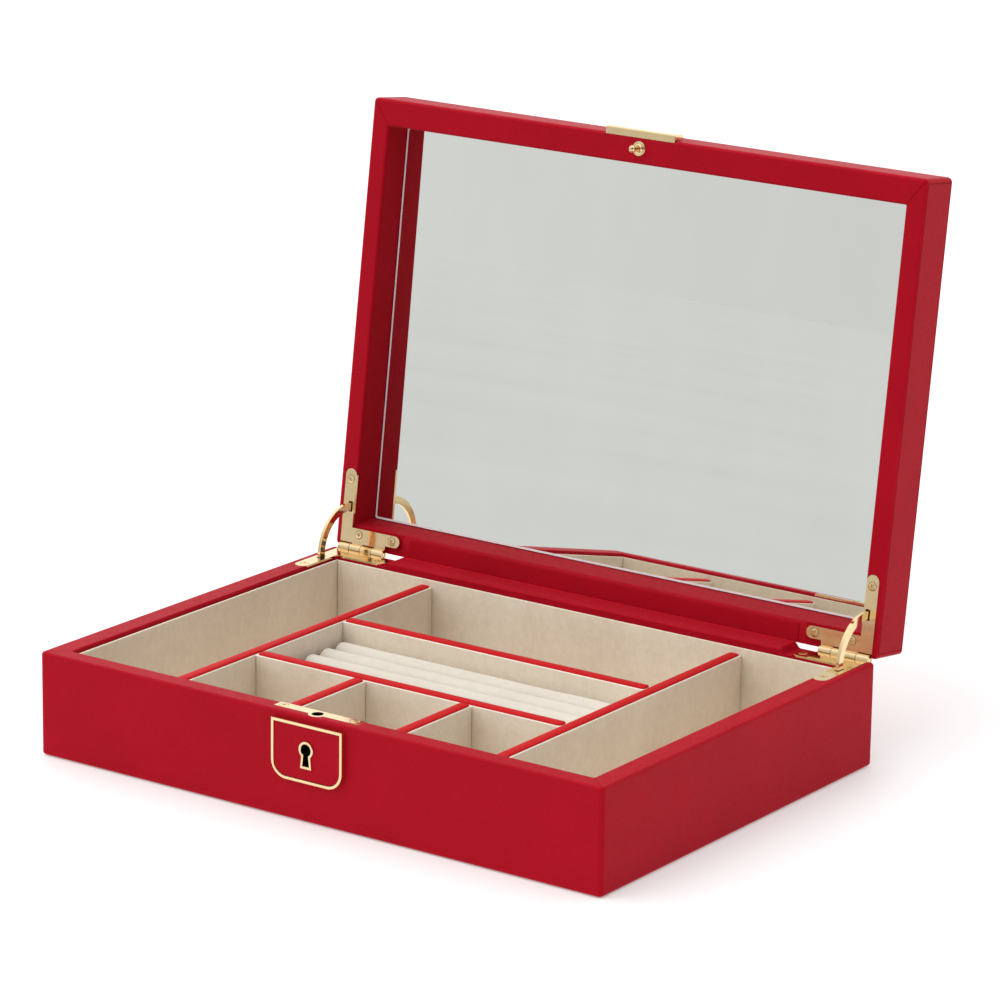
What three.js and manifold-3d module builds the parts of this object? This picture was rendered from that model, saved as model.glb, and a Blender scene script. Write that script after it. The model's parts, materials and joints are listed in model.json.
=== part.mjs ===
// A leather jewellery case: a divided, suede-lined base, a lid with a mirror, quadrant
// hinges with stay arms, and a small box lock. Millimetres, +Z up, +X to the right,
// -Y to the front. The origin is the middle of the base's underside, and the lid stands open.

import * as THREE from 'three';
import { mergeVertices } from 'three/addons/utils/BufferGeometryUtils.js';
import Module from 'manifold-3d';

// ---------------------------------------------------------------- driving dimensions

const CASE_WIDTH = 267;
const CASE_DEPTH = 190;
const CORNER_RADIUS = 2;
const EDGE_ROUND = 1.2;
const FIT_GAP = 0.3;
const OVERCUT = 1;

const PAD_THICKNESS = 1.3;
const PAD_MARGIN = 4;
const BASE_BOTTOM = 0.3;
const BASE_FLOOR_TOP = 4;
const BASE_TOP = 42.6;
const BASE_INNER = { side: 123.7, front: -86.5, back: 83.8 };

const LID_BOTTOM = 42.9;
const LID_TOP = 63.4;
const LID_RECESS_TOP = 60.3;
const LID_INNER = { side: 125, front: -83.8, back: 84.2 };
const LID_FLARE = 1.8;
const OPEN_ANGLE = THREE.MathUtils.degToRad(97.64);

const MIRROR_FACE = 57;
const MIRROR_THICKNESS = 2;
const BACKING_THICKNESS = 0.8;
const MIRROR_GAP = 0.4;
const BACKING_GAP = { side: 1, face: 0.2 };

const LINER_THICKNESS = 1.2;
const LINER_TOP = 41;
const FLOOR_LINER_BOTTOM = 4.3;
const FLOOR_LINER_TOP = 5.5;
const STANDING_Z = 5.6;

const DIVIDER_THICKNESS = 6;
const DIVIDER_TOP = 38.2;
const STRIP_WIDTH = 4.8;
const STRIP_BOTTOM = 38.3;
const STRIP_HEIGHT = 0.9;
const STRIP_ROUND = 0.35;
const STRIP_END_RADIUS = 1.6;
const LEFT_LONG_X = -75.6;
const RIGHT_LONG_X = 76.6;
const REAR_CROSS_Y = 24;
const FRONT_CROSS_Y = -32.8;
const LEFT_SHORT_X = -20.9;
const RIGHT_SHORT_X = 29.9;

const ROLL_COUNT = 5;
const ROLL_TOP = 31.5;
const ROLL_GAP = 0.4;
const ROLL_START_GAP = 2;

const HINGE_Y = 95.6;
const HINGE_Z = (BASE_TOP + LID_BOTTOM) / 2;
const LEAF_THICKNESS = 1.6;
const BASE_LEAF = { inner: 123.9, outer: 130.4, legInner: 84 };
const LID_LEAF = { inner: 125.4, outer: 131, legInner: 86.8 };
const LEAF_FRONT_Y = 61.8;
const LEAF_BACK_Y = 93.2;
const LEAF_LEG_BACK_Y = 91.8;
const LEAF_LEG_END_X = 100.4;
const LEAF_SCREW = { frontInset: 4.6, cornerX: 121.6, endInset: 4 };
const MORTISE_GAP = { side: 0.25, floor: 0.2 };
const SPINE_RISE = 1.2;
const SHOULDER = { highX: 96, lowX: 99, endX: 102, farX: 131, frontY: 86, steps: 6 };
const KNUCKLE_FAR_X = 130.6;
const KNUCKLE_LENGTH = 5.75;
const KNUCKLE_COUNT = 4;
const KNUCKLE_GAP = 0.2;
const BARREL_RADIUS = 2;
const BARREL_BORE = 1.15;
const PIN_RADIUS = 0.95;
const BARREL_CLEARANCE = 0.35;
const BORE_REACH = { near: 100, far: 140 };
const TONGUE_OVERLAP = 0.4;

const ARM_X = 127.3;
const ARM_THICKNESS = 1.4;
const ARM_INNER = 16.1;
const ARM_OUTER = 19.3;
const ARM_HALF_ANGLE = THREE.MathUtils.degToRad(56.5);
const ARM_NIB_ANGLE = THREE.MathUtils.degToRad(2.3);
const ARM_NIB_HEIGHT = 1;
const ARM_NIB_OVERLAP = 0.5;
const SLOT_WIDTH = 2.2;
const POCKET_INNER = 15.4;
const POCKET_OUTER = 20.9;
const POCKET_ANGLE = THREE.MathUtils.degToRad(60);
const POCKET_LEAD_ANGLE = THREE.MathUtils.degToRad(7);

const SCREW_HEAD_RADIUS = 1.7;
const SCREW_HEAD_DEPTH = 1;
const SCREW_SHANK_RADIUS = 0.8;
const SCREW_LENGTH = 7;
const SCREW_TIP = { length: 1.2, radius: 0.32 };
const SCREW_HEAD_EDGE = 0.15;
const SCREW_CLEARANCE = 0.25;
const SCREW_SLOT = { length: 1.9, width: 0.42, depth: 0.45 };
const SCREW_TURN_STEP = 0.7;

const LOCK_Y = -90;
const TOP_PLATE = { halfWidth: 20, front: -91.2, thickness: 1, bossRadius: 3.7, holeRadius: 2.3 };
const TOP_PLATE_SCREW = { x: 16.8, y: -88.85 };
const LOCK_CASE = { halfWidth: 13.5, halfDepth: 2.5, bottom: 17, top: 41.3 };
const LOCK_WALL = { side: 0.6, face: 0.4 };
const LOCK_FIT = 0.2;
const BOLT = {
  forkEnd: -2.2,
  slotEnd: -6.8,
  tail: -12,
  postEnd: -8,
  footEnd: 6,
  forkBottom: 40.1,
  forkTop: 40.9,
  footBottom: 33.2,
  footTop: 35.2,
  width: 3.6,
  slotWidth: 2.6,
  footWidth: 2.4,
  talon: 1.6,
};

const KEYHOLE = { z: 30, radius: 2.35, bottom: 23.5, slotTop: 1.1, slotBottom: 1.6 };
const TRIM_BORDER = 1.05;
const TRIM_PROUD = 0.5;
const FRAME = { halfWidth: 16.8, bottom: 16.6, top: 40, corner: 7, border: 1.15, proud: 2.2 };
const INLAY_PROUD = 2;
const INLAY_GAP = 0.1;

const LATCH = {
  ballRadius: 1.5,
  ballDrop: 4.7,
  neckRadius: 0.95,
  coneRadius: 2,
  coneDrop: 1.3,
  flangeRadius: 3,
  flangeDepth: 1.2,
  stemRadius: 1.2,
  stemDepth: 5,
};
const LIFT = {
  halfWidth: 16.6,
  leaf: 0.8,
  proud: 2.6,
  clearance: 0.25,
  round: 0.4,
  rimReach: 0.7,
  height: 6.2,
};

const CURVE_STEPS = 7;
const ROUND_STEPS = 20;
const SCREW_STEPS = 12;
const PIN_STEPS = 16;

// ---------------------------------------------------------------- materials

const finish = (color, roughness, metalness = 0) =>
  new THREE.MeshStandardMaterial({ color, roughness, metalness });

const LEATHER = () => finish(0xb01828, 0.5);
const STRIP_LEATHER = () => finish(0xc02030, 0.5);
const SUEDE = () => finish(0xc8b394, 0.95);
const ROLL_SUEDE = () => finish(0xe4dac6, 0.95);
const GOLD = () => finish(0xd9b978, 0.2, 1);
const STEEL = () => finish(0x9a958c, 0.4, 1);
const MIRROR = () => finish(0xcdd1cb, 0.03, 1);
const BOARD = () => finish(0x6b5a48, 0.9);
const FELT = () => finish(0x8c1a22, 0.95);

// ---------------------------------------------------------------- solid helpers

const wasm = await Module();
wasm.setup();

function solidOf(geometry) {
  const bare = geometry.clone();
  bare.deleteAttribute('normal');
  bare.deleteAttribute('uv');
  const merged = mergeVertices(bare, 1e-4);
  const vertProperties = merged.attributes.position.array;
  const triVerts = new Uint32Array(merged.index.array);
  return new wasm.Manifold(new wasm.Mesh({ numProp: 3, vertProperties, triVerts }));
}

function geometryOf(solid) {
  const mesh = solid.getMesh();
  const geometry = new THREE.BufferGeometry();
  geometry.setAttribute('position', new THREE.BufferAttribute(mesh.vertProperties, 3));
  geometry.setIndex(new THREE.BufferAttribute(mesh.triVerts, 1));
  const faceted = geometry.toNonIndexed();
  faceted.computeVertexNormals();
  return faceted;
}

const join = (...geometries) =>
  geometryOf(geometries.map(solidOf).reduce((whole, piece) => whole.add(piece)));

const cut = (geometry, ...tools) =>
  geometryOf(tools.map(solidOf).reduce((left, tool) => left.subtract(tool), solidOf(geometry)));

function box(x, y, z) {
  const geometry = new THREE.BoxGeometry(x[1] - x[0], y[1] - y[0], z[1] - z[0]);
  return geometry.translate((x[0] + x[1]) / 2, (y[0] + y[1]) / 2, (z[0] + z[1]) / 2);
}

const inOrder = (a, b) => [Math.min(a, b), Math.max(a, b)];

// A span that reaches a little past both ends, for a cutting tool.
const past = ([low, high]) => [low - OVERCUT, high + OVERCUT];

// A span of x on the given side (+1 right, -1 left), lowest value first.
const sideSpan = (side, a, b) => (side > 0 ? [a, b] : [-b, -a]);

function plate(shape, z, curveSegments = CURVE_STEPS) {
  const geometry = new THREE.ExtrudeGeometry(shape, {
    depth: z[1] - z[0],
    bevelEnabled: false,
    curveSegments,
  });
  return geometry.translate(0, 0, z[0]);
}

function roundedPlate(shape, z, round, curveSegments = CURVE_STEPS) {
  const geometry = new THREE.ExtrudeGeometry(shape, {
    depth: z[1] - z[0] - 2 * round,
    bevelThickness: round,
    bevelSize: round,
    bevelOffset: -round,
    bevelSegments: 2,
    curveSegments,
  });
  return geometry.translate(0, 0, z[0] + round);
}

// The shape's x and y become the part's Y and Z, and it is thick along X.
function plateAlongX(shape, x, curveSegments = CURVE_STEPS) {
  const turn = new THREE.Matrix4().set(0, 0, 1, 0, 1, 0, 0, 0, 0, 1, 0, 0, 0, 0, 0, 1);
  return plate(shape, x, curveSegments).applyMatrix4(turn);
}

// The shape's x and y become the part's X and Z, and it is thick along Y.
function plateAlongY(shape, y, curveSegments = CURVE_STEPS) {
  return plate(shape, [-y[1], -y[0]], curveSegments).rotateX(Math.PI / 2);
}

function roundedRectangle(x, y, radius) {
  const shape = new THREE.Shape();
  shape.moveTo(x[0] + radius, y[0]);
  shape.lineTo(x[1] - radius, y[0]);
  shape.absarc(x[1] - radius, y[0] + radius, radius, -Math.PI / 2, 0);
  shape.lineTo(x[1], y[1] - radius);
  shape.absarc(x[1] - radius, y[1] - radius, radius, 0, Math.PI / 2);
  shape.lineTo(x[0] + radius, y[1]);
  shape.absarc(x[0] + radius, y[1] - radius, radius, Math.PI / 2, Math.PI);
  shape.lineTo(x[0], y[0] + radius);
  shape.absarc(x[0] + radius, y[0] + radius, radius, Math.PI, 1.5 * Math.PI);
  return shape;
}

function rod(radius, z, x, y, segments = ROUND_STEPS) {
  const geometry = new THREE.CylinderGeometry(radius, radius, z[1] - z[0], segments);
  return geometry.rotateX(Math.PI / 2).translate(x, y, (z[0] + z[1]) / 2);
}

function rodAlongX(radius, x, y, z, segments = ROUND_STEPS) {
  const geometry = new THREE.CylinderGeometry(radius, radius, x[1] - x[0], segments);
  return geometry.rotateZ(Math.PI / 2).translate((x[0] + x[1]) / 2, y, z);
}

// Turned about Z from a profile of [radius, z] points that starts and ends on the axis.
function turned(points, segments = ROUND_STEPS) {
  const profile = points.map(([radius, z]) => new THREE.Vector2(radius, z));
  return new THREE.LatheGeometry(profile, segments).rotateX(Math.PI / 2);
}

function named(name, geometry, material) {
  const mesh = new THREE.Mesh(geometry, material);
  mesh.name = name;
  return mesh;
}

// ---------------------------------------------------------------- case blocks

const HALF_WIDTH = CASE_WIDTH / 2;
const HALF_DEPTH = CASE_DEPTH / 2;
const FRONT_Y = -HALF_DEPTH;

function caseBlock(z) {
  const outline = roundedRectangle([-HALF_WIDTH, HALF_WIDTH], [-HALF_DEPTH, HALF_DEPTH], CORNER_RADIUS);
  return roundedPlate(outline, z, EDGE_ROUND, 4);
}

// ---------------------------------------------------------------- hinges

// An L-shaped leaf: one leg along the side wall and one along the back wall.
function leafOutline(side, leaf, grow) {
  const sideLegRadius = (leaf.outer - leaf.inner) / 2 + grow;
  const sideLegX = (leaf.outer + leaf.inner) / 2;
  const backLegRadius = (LEAF_LEG_BACK_Y - leaf.legInner) / 2 + grow;
  const backLegY = (LEAF_LEG_BACK_Y + leaf.legInner) / 2;
  const backLegX = LEAF_LEG_END_X + backLegRadius - grow;
  const frontY = LEAF_FRONT_Y + sideLegRadius - grow;
  const shape = new THREE.Shape();
  const points = [new THREE.Vector2(side * (leaf.inner - grow), leaf.legInner - grow)];
  const arc = (x, y, radius, from, to) => {
    for (let step = 0; step <= CURVE_STEPS; step++) {
      const angle = from + ((to - from) * step) / CURVE_STEPS;
      points.push(new THREE.Vector2(side * (x + radius * Math.cos(angle)), y + radius * Math.sin(angle)));
    }
  };
  arc(sideLegX, frontY, sideLegRadius, Math.PI, 2 * Math.PI);
  points.push(new THREE.Vector2(side * (leaf.outer + grow), LEAF_BACK_Y + grow));
  const knuckleNearX = KNUCKLE_FAR_X - KNUCKLE_COUNT * KNUCKLE_LENGTH;
  points.push(new THREE.Vector2(side * (knuckleNearX - grow), LEAF_BACK_Y + grow));
  points.push(new THREE.Vector2(side * (knuckleNearX - grow), LEAF_LEG_BACK_Y + grow));
  arc(backLegX, backLegY, backLegRadius, Math.PI / 2, 1.5 * Math.PI);
  shape.setFromPoints(points);
  return shape;
}

function leafScrewPlaces(leaf) {
  const backLegY = (LEAF_LEG_BACK_Y + leaf.legInner) / 2;
  return [
    { x: (leaf.outer + leaf.inner) / 2, y: LEAF_FRONT_Y + LEAF_SCREW.frontInset },
    { x: LEAF_SCREW.cornerX, y: backLegY },
    { x: LEAF_LEG_END_X + LEAF_SCREW.endInset, y: backLegY },
  ];
}

function knuckleSpan(side, index) {
  const far = KNUCKLE_FAR_X - index * KNUCKLE_LENGTH;
  return sideSpan(side, far - KNUCKLE_LENGTH + KNUCKLE_GAP, far);
}

// Barrel knuckles and the tongues that tie them to the leaf; own is 0 or 1.
function knuckles(side, own, tongueZ) {
  const pieces = [];
  for (let index = own; index < KNUCKLE_COUNT; index += 2) {
    const span = knuckleSpan(side, index);
    pieces.push(rodAlongX(BARREL_RADIUS, span, HINGE_Y, HINGE_Z));
    pieces.push(box(span, [LEAF_BACK_Y - TONGUE_OVERLAP, HINGE_Y], tongueZ));
  }
  return pieces;
}

// The hole that a countersunk screw needs, from its surface inwards; down is -1 or +1.
function screwHole(place, surfaceZ, down) {
  const headRadius = SCREW_HEAD_RADIUS + SCREW_CLEARANCE;
  const shankRadius = SCREW_SHANK_RADIUS + SCREW_CLEARANCE;
  const depth = SCREW_HEAD_DEPTH + SCREW_CLEARANCE;
  const end = SCREW_LENGTH + SCREW_CLEARANCE;
  const profile = [
    [0, -end],
    [shankRadius, -end],
    [shankRadius, -depth],
    [headRadius, -SCREW_CLEARANCE / 2],
    [headRadius, OVERCUT],
    [0, OVERCUT],
  ];
  const hole = turned(profile, SCREW_STEPS);
  if (down > 0) hole.rotateX(Math.PI);
  return hole.translate(place.x, place.y, surfaceZ);
}

function screwGeometry() {
  const profile = [
    [0, -SCREW_LENGTH],
    [SCREW_TIP.radius, -SCREW_LENGTH],
    [SCREW_SHANK_RADIUS, -SCREW_LENGTH + SCREW_TIP.length],
    [SCREW_SHANK_RADIUS, -SCREW_HEAD_DEPTH],
    [SCREW_HEAD_RADIUS, -SCREW_HEAD_EDGE],
    [SCREW_HEAD_RADIUS, 0],
    [0, 0],
  ];
  const length = SCREW_SLOT.length / 2;
  const width = SCREW_SLOT.width / 2;
  const depth = [-SCREW_SLOT.depth, OVERCUT];
  const along = box([-length, length], [-width, width], depth);
  const across = box([-width, width], [-length, length], depth);
  return cut(turned(profile, SCREW_STEPS), along, across);
}

// turn is a small different angle for each screw's cross slot.
function screw(name, place, surfaceZ, down, turn) {
  const mesh = named(name, screwGeometry(), GOLD());
  mesh.position.set(place.x, place.y, surfaceZ);
  mesh.rotation.set(down > 0 ? Math.PI : 0, 0, turn);
  return mesh;
}

// A ring sector in the hinge's Y-Z plane; angles are measured from the front, upwards.
function ringSector(inner, outer, from, to) {
  const at = (radius, angle) => {
    const y = HINGE_Y - radius * Math.cos(angle);
    return new THREE.Vector2(y, HINGE_Z + radius * Math.sin(angle));
  };
  const points = [];
  const steps = Math.max(2, Math.round(ROUND_STEPS * Math.abs(to - from) / Math.PI));
  for (let step = 0; step <= steps; step++) points.push(at(outer, from + ((to - from) * step) / steps));
  for (let step = steps; step >= 0; step--) points.push(at(inner, from + ((to - from) * step) / steps));
  return new THREE.Shape(points);
}

const armSpan = (side, thickness) => sideSpan(side, ARM_X - thickness / 2, ARM_X + thickness / 2);

// The slot in a leaf holds the arm, but not the stop nib on its end.
function armSlot(side, z) {
  const y = [HINGE_Y - POCKET_OUTER + ARM_NIB_HEIGHT, HINGE_Y - POCKET_INNER];
  return box(armSpan(side, SLOT_WIDTH), y, z);
}

function armPocket(side, up) {
  const sector = ringSector(POCKET_INNER, POCKET_OUTER, -POCKET_LEAD_ANGLE * up, POCKET_ANGLE * up);
  return plateAlongX(sector, armSpan(side, SLOT_WIDTH));
}

// The curved stay arm with a stop nib at each end, drawn as it lies when the lid is shut.
function stayArm(side) {
  const span = armSpan(side, ARM_THICKNESS);
  const blade = plateAlongX(ringSector(ARM_INNER, ARM_OUTER, -ARM_HALF_ANGLE, ARM_HALF_ANGLE), span);
  const nibOuter = ARM_OUTER + ARM_NIB_HEIGHT;
  const nibs = [-1, 1].map((end) => {
    const tip = ARM_HALF_ANGLE * end;
    const root = (ARM_HALF_ANGLE - ARM_NIB_ANGLE) * end;
    const nib = ringSector(ARM_OUTER - ARM_NIB_OVERLAP, nibOuter, Math.min(tip, root), Math.max(tip, root));
    return plateAlongX(nib, span);
  });
  return join(blade, ...nibs);
}

function hingeLeaf(side, leaf, own, surfaceZ, down) {
  const farZ = surfaceZ + down * LEAF_THICKNESS;
  const z = inOrder(surfaceZ, farZ);
  const ownKnuckles = knuckles(side, own, z);
  const boreX = sideSpan(side, BORE_REACH.near, BORE_REACH.far);
  const bore = rodAlongX(BARREL_BORE, boreX, HINGE_Y, HINGE_Z, PIN_STEPS);
  const holes = leafScrewPlaces(leaf).map(({ x, y }) => screwHole({ x: side * x, y }, surfaceZ, down));
  const body = join(plate(leafOutline(side, leaf, 0), z), ...ownKnuckles);
  return cut(body, bore, armSlot(side, past(z)), ...holes);
}

// The rim behind a leaf's back leg is level with the leaf's underside. A soft ramp leads
// from there to the rim between the hinges.
function shoulderCut(side, surfaceZ, down, farX, frontY) {
  const highZ = surfaceZ + SPINE_RISE;
  const lowZ = surfaceZ + down * LEAF_THICKNESS;
  const open = (down < 0 ? highZ : surfaceZ) - down * OVERCUT;
  const points = [new THREE.Vector2(side * SHOULDER.highX, open)];
  for (let step = 0; step <= SHOULDER.steps; step++) {
    const share = step / SHOULDER.steps;
    const x = THREE.MathUtils.lerp(SHOULDER.highX, SHOULDER.lowX, share);
    const z = THREE.MathUtils.lerp(highZ, lowZ, THREE.MathUtils.smoothstep(share, 0, 1));
    points.push(new THREE.Vector2(side * x, z));
  }
  points.push(new THREE.Vector2(side * farX, lowZ));
  points.push(new THREE.Vector2(side * farX, open));
  return plateAlongY(new THREE.Shape(points), [frontY, HALF_DEPTH + OVERCUT]);
}

// Between the hinges the base's back rim stands higher than the rest, and the lid's back
// rim is set back by as much.
function spine() {
  const low = BASE_TOP - EDGE_ROUND;
  const high = BASE_TOP + SPINE_RISE;
  const shape = new THREE.Shape();
  shape.moveTo(BASE_INNER.back, low);
  shape.lineTo(HALF_DEPTH, low);
  shape.lineTo(HALF_DEPTH, high - EDGE_ROUND);
  shape.absarc(HALF_DEPTH - EDGE_ROUND, high - EDGE_ROUND, EDGE_ROUND, 0, Math.PI / 2);
  shape.lineTo(BASE_INNER.back, high);
  return plateAlongX(shape, [-SHOULDER.lowX, SHOULDER.lowX], 3);
}

function spineRecess() {
  const y = [LID_INNER.back - OVERCUT, HALF_DEPTH + OVERCUT];
  return box([-SHOULDER.highX, SHOULDER.highX], y, [LID_BOTTOM - OVERCUT, LID_BOTTOM + SPINE_RISE]);
}

// What a case half loses to one hinge: leaf mortise, shoulder, barrel notch, arm pocket,
// pilot holes.
function hingeCuts(side, leaf, surfaceZ, down) {
  const open = surfaceZ - down * OVERCUT;
  const mortiseZ = inOrder(surfaceZ + down * (LEAF_THICKNESS + MORTISE_GAP.floor), open);
  const notchZ = inOrder(HINGE_Z + down * (BARREL_RADIUS + BARREL_CLEARANCE), open);
  const nearX = KNUCKLE_FAR_X - KNUCKLE_COUNT * KNUCKLE_LENGTH;
  const notchX = sideSpan(side, nearX - BARREL_CLEARANCE, KNUCKLE_FAR_X + BARREL_CLEARANCE);
  const notchY = [LEAF_BACK_Y, HALF_DEPTH + OVERCUT];
  const holes = leafScrewPlaces(leaf).map(({ x, y }) => screwHole({ x: side * x, y }, surfaceZ, down));
  return [
    plate(leafOutline(side, leaf, MORTISE_GAP.side), mortiseZ),
    shoulderCut(side, surfaceZ, down, SHOULDER.farX, SHOULDER.frontY),
    shoulderCut(side, surfaceZ, down, SHOULDER.endX, BASE_INNER.back - OVERCUT),
    box(notchX, notchY, notchZ),
    armPocket(side, down),
    ...holes,
  ];
}

// ---------------------------------------------------------------- lock

function keyholeShape(grow) {
  const radius = KEYHOLE.radius + grow;
  const top = KEYHOLE.slotTop + grow;
  const bottom = KEYHOLE.slotBottom + grow;
  const meet = Math.asin(top / radius);
  const shape = new THREE.Shape();
  shape.moveTo(-bottom, KEYHOLE.bottom - grow);
  shape.lineTo(bottom, KEYHOLE.bottom - grow);
  shape.lineTo(top, KEYHOLE.z - radius * Math.cos(meet));
  shape.absarc(0, KEYHOLE.z, radius, -Math.PI / 2 + meet, 1.5 * Math.PI - meet);
  return shape;
}

const keyholeCut = (y, grow) => plateAlongY(keyholeShape(grow), y);

function frameShape(inset) {
  const half = FRAME.halfWidth - inset;
  const radius = FRAME.corner - inset;
  const bottom = FRAME.bottom + inset;
  const top = FRAME.top - inset;
  const shape = new THREE.Shape();
  shape.moveTo(-half, top);
  shape.lineTo(-half, bottom + radius);
  shape.absarc(-half + radius, bottom + radius, radius, Math.PI, 1.5 * Math.PI);
  shape.lineTo(half - radius, bottom);
  shape.absarc(half - radius, bottom + radius, radius, -Math.PI / 2, 0);
  shape.lineTo(half, top);
  return shape;
}

function escutcheonFrame() {
  const faceY = FRONT_Y - FRAME.proud;
  const outer = plateAlongY(frameShape(0), [faceY, FRONT_Y]);
  return cut(outer, plateAlongY(frameShape(FRAME.border), past([faceY, FRONT_Y])));
}

function escutcheonInlay() {
  const faceY = FRONT_Y - INLAY_PROUD;
  const panel = plateAlongY(frameShape(FRAME.border + INLAY_GAP), [faceY, FRONT_Y]);
  return cut(panel, keyholeCut(past([faceY, FRONT_Y]), TRIM_BORDER + INLAY_GAP));
}

function keyholeTrim() {
  const faceY = FRONT_Y - INLAY_PROUD - TRIM_PROUD;
  const outer = keyholeCut([faceY, FRONT_Y], TRIM_BORDER);
  return cut(outer, keyholeCut(past([faceY, FRONT_Y]), 0));
}

const lockCaseY = (margin) => [
  LOCK_Y - LOCK_CASE.halfDepth - margin,
  LOCK_Y + LOCK_CASE.halfDepth + margin,
];

function lockCase() {
  const half = LOCK_CASE.halfWidth;
  const hollow = half - LOCK_WALL.side;
  const outer = box([-half, half], lockCaseY(0), [LOCK_CASE.bottom, LOCK_CASE.top]);
  const hollowZ = [LOCK_CASE.bottom + LOCK_WALL.side, LOCK_CASE.top + OVERCUT];
  const inner = box([-hollow, hollow], lockCaseY(-LOCK_WALL.face), hollowZ);
  return cut(outer, inner, keyholeCut([FRONT_Y, LOCK_Y], 0));
}

// A sliding bolt: a fork that passes either side of the latch pin's neck, and a foot
// with a notch for the key's bit.
function lockBolt() {
  const half = BOLT.width / 2;
  const slot = BOLT.slotWidth / 2;
  const foot = BOLT.footWidth / 2;
  const forkY = [LOCK_Y - half, LOCK_Y + half];
  const footY = [LOCK_Y - foot, LOCK_Y + foot];
  const fork = box([BOLT.tail, BOLT.forkEnd], forkY, [BOLT.forkBottom, BOLT.forkTop]);
  const post = box([BOLT.tail, BOLT.postEnd], footY, [BOLT.footBottom, BOLT.forkTop]);
  const arm = box([BOLT.tail, BOLT.footEnd], footY, [BOLT.footBottom, BOLT.footTop]);
  const mouthZ = past([BOLT.forkBottom, BOLT.forkTop]);
  const mouth = box([BOLT.slotEnd, 0], [LOCK_Y - slot, LOCK_Y + slot], mouthZ);
  const talonRod = new THREE.CylinderGeometry(BOLT.talon, BOLT.talon, 2 * BOLT.width, PIN_STEPS);
  talonRod.translate(0, LOCK_Y, BOLT.footBottom);
  return cut(cut(join(fork, post, arm), mouth), talonRod);
}

function topPlateShape(grow) {
  const half = TOP_PLATE.halfWidth + grow;
  const radius = TOP_PLATE.bossRadius + grow;
  const front = TOP_PLATE.front - grow;
  const meet = Math.acos((LOCK_Y - front) / radius);
  const shape = new THREE.Shape();
  shape.moveTo(-half, front);
  shape.lineTo(-radius * Math.sin(meet), front);
  shape.absarc(0, LOCK_Y, radius, 1.5 * Math.PI - meet, 1.5 * Math.PI + meet);
  shape.lineTo(half, front);
  shape.lineTo(half, BASE_INNER.front + grow);
  shape.lineTo(-half, BASE_INNER.front + grow);
  return shape;
}

const topPlateScrews = () => [-1, 1].map((side) => ({ x: side * TOP_PLATE_SCREW.x, y: TOP_PLATE_SCREW.y }));

function lockTopPlate() {
  const z = [BASE_TOP - TOP_PLATE.thickness, BASE_TOP];
  const hole = rod(TOP_PLATE.holeRadius, past(z), 0, LOCK_Y);
  const screws = topPlateScrews().map((place) => screwHole(place, BASE_TOP, -1));
  return cut(plate(topPlateShape(0), z), hole, ...screws);
}

function lockCuts() {
  const half = LOCK_CASE.halfWidth + FIT_GAP;
  const mortise = box([-half, half], lockCaseY(LOCK_FIT), [LOCK_CASE.bottom - FIT_GAP, BASE_TOP]);
  const plateZ = [BASE_TOP - TOP_PLATE.thickness - LOCK_FIT, BASE_TOP + OVERCUT];
  const keyhole = keyholeCut([FRONT_Y - OVERCUT, LOCK_Y], FIT_GAP);
  const screws = topPlateScrews().map((place) => screwHole(place, BASE_TOP, -1));
  return [mortise, plate(topPlateShape(LOCK_FIT), plateZ), keyhole, ...screws];
}

// ---------------------------------------------------------------- base

function baseCase() {
  const inner = [-BASE_INNER.side, BASE_INNER.side];
  const cavity = box(inner, [BASE_INNER.front, BASE_INNER.back], [BASE_FLOOR_TOP, BASE_TOP + 2 * OVERCUT]);
  const padX = HALF_WIDTH - PAD_MARGIN + FIT_GAP;
  const padY = HALF_DEPTH - PAD_MARGIN + FIT_GAP;
  const padRecess = box([-padX, padX], [-padY, padY], [BASE_BOTTOM - OVERCUT, PAD_THICKNESS]);
  const hinges = [-1, 1].flatMap((side) => hingeCuts(side, BASE_LEAF, BASE_TOP, -1));
  const block = join(caseBlock([BASE_BOTTOM, BASE_TOP]), spine());
  return cut(block, cavity, padRecess, ...lockCuts(), ...hinges);
}

function bottomPad() {
  const x = HALF_WIDTH - PAD_MARGIN;
  const y = HALF_DEPTH - PAD_MARGIN;
  return plate(roundedRectangle([-x, x], [-y, y], CORNER_RADIUS), [0, PAD_THICKNESS]);
}

const LINER_SIDE_OUT = BASE_INNER.side - FIT_GAP;
const LINER_SIDE_IN = LINER_SIDE_OUT - LINER_THICKNESS;
const LINER_FRONT_OUT = BASE_INNER.front + FIT_GAP;
const LINER_FRONT_IN = LINER_FRONT_OUT + LINER_THICKNESS;
const LINER_BACK_OUT = BASE_INNER.back - FIT_GAP;
const LINER_BACK_IN = LINER_BACK_OUT - LINER_THICKNESS;

function linerMeshes() {
  const z = [STANDING_Z, LINER_TOP];
  const between = LINER_SIDE_IN - FIT_GAP;
  const y = [LINER_FRONT_OUT, LINER_BACK_OUT];
  const floor = box([-LINER_SIDE_OUT, LINER_SIDE_OUT], y, [FLOOR_LINER_BOTTOM, FLOOR_LINER_TOP]);
  const front = box([-between, between], [LINER_FRONT_OUT, LINER_FRONT_IN], z);
  const back = box([-between, between], [LINER_BACK_IN, LINER_BACK_OUT], z);
  return [
    named('floor_liner', floor, SUEDE()),
    named('front_liner', front, SUEDE()),
    named('back_liner', back, SUEDE()),
    named('left_liner', box([-LINER_SIDE_OUT, -LINER_SIDE_IN], y, z), SUEDE()),
    named('right_liner', box([LINER_SIDE_IN, LINER_SIDE_OUT], y, z), SUEDE()),
  ];
}

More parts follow.
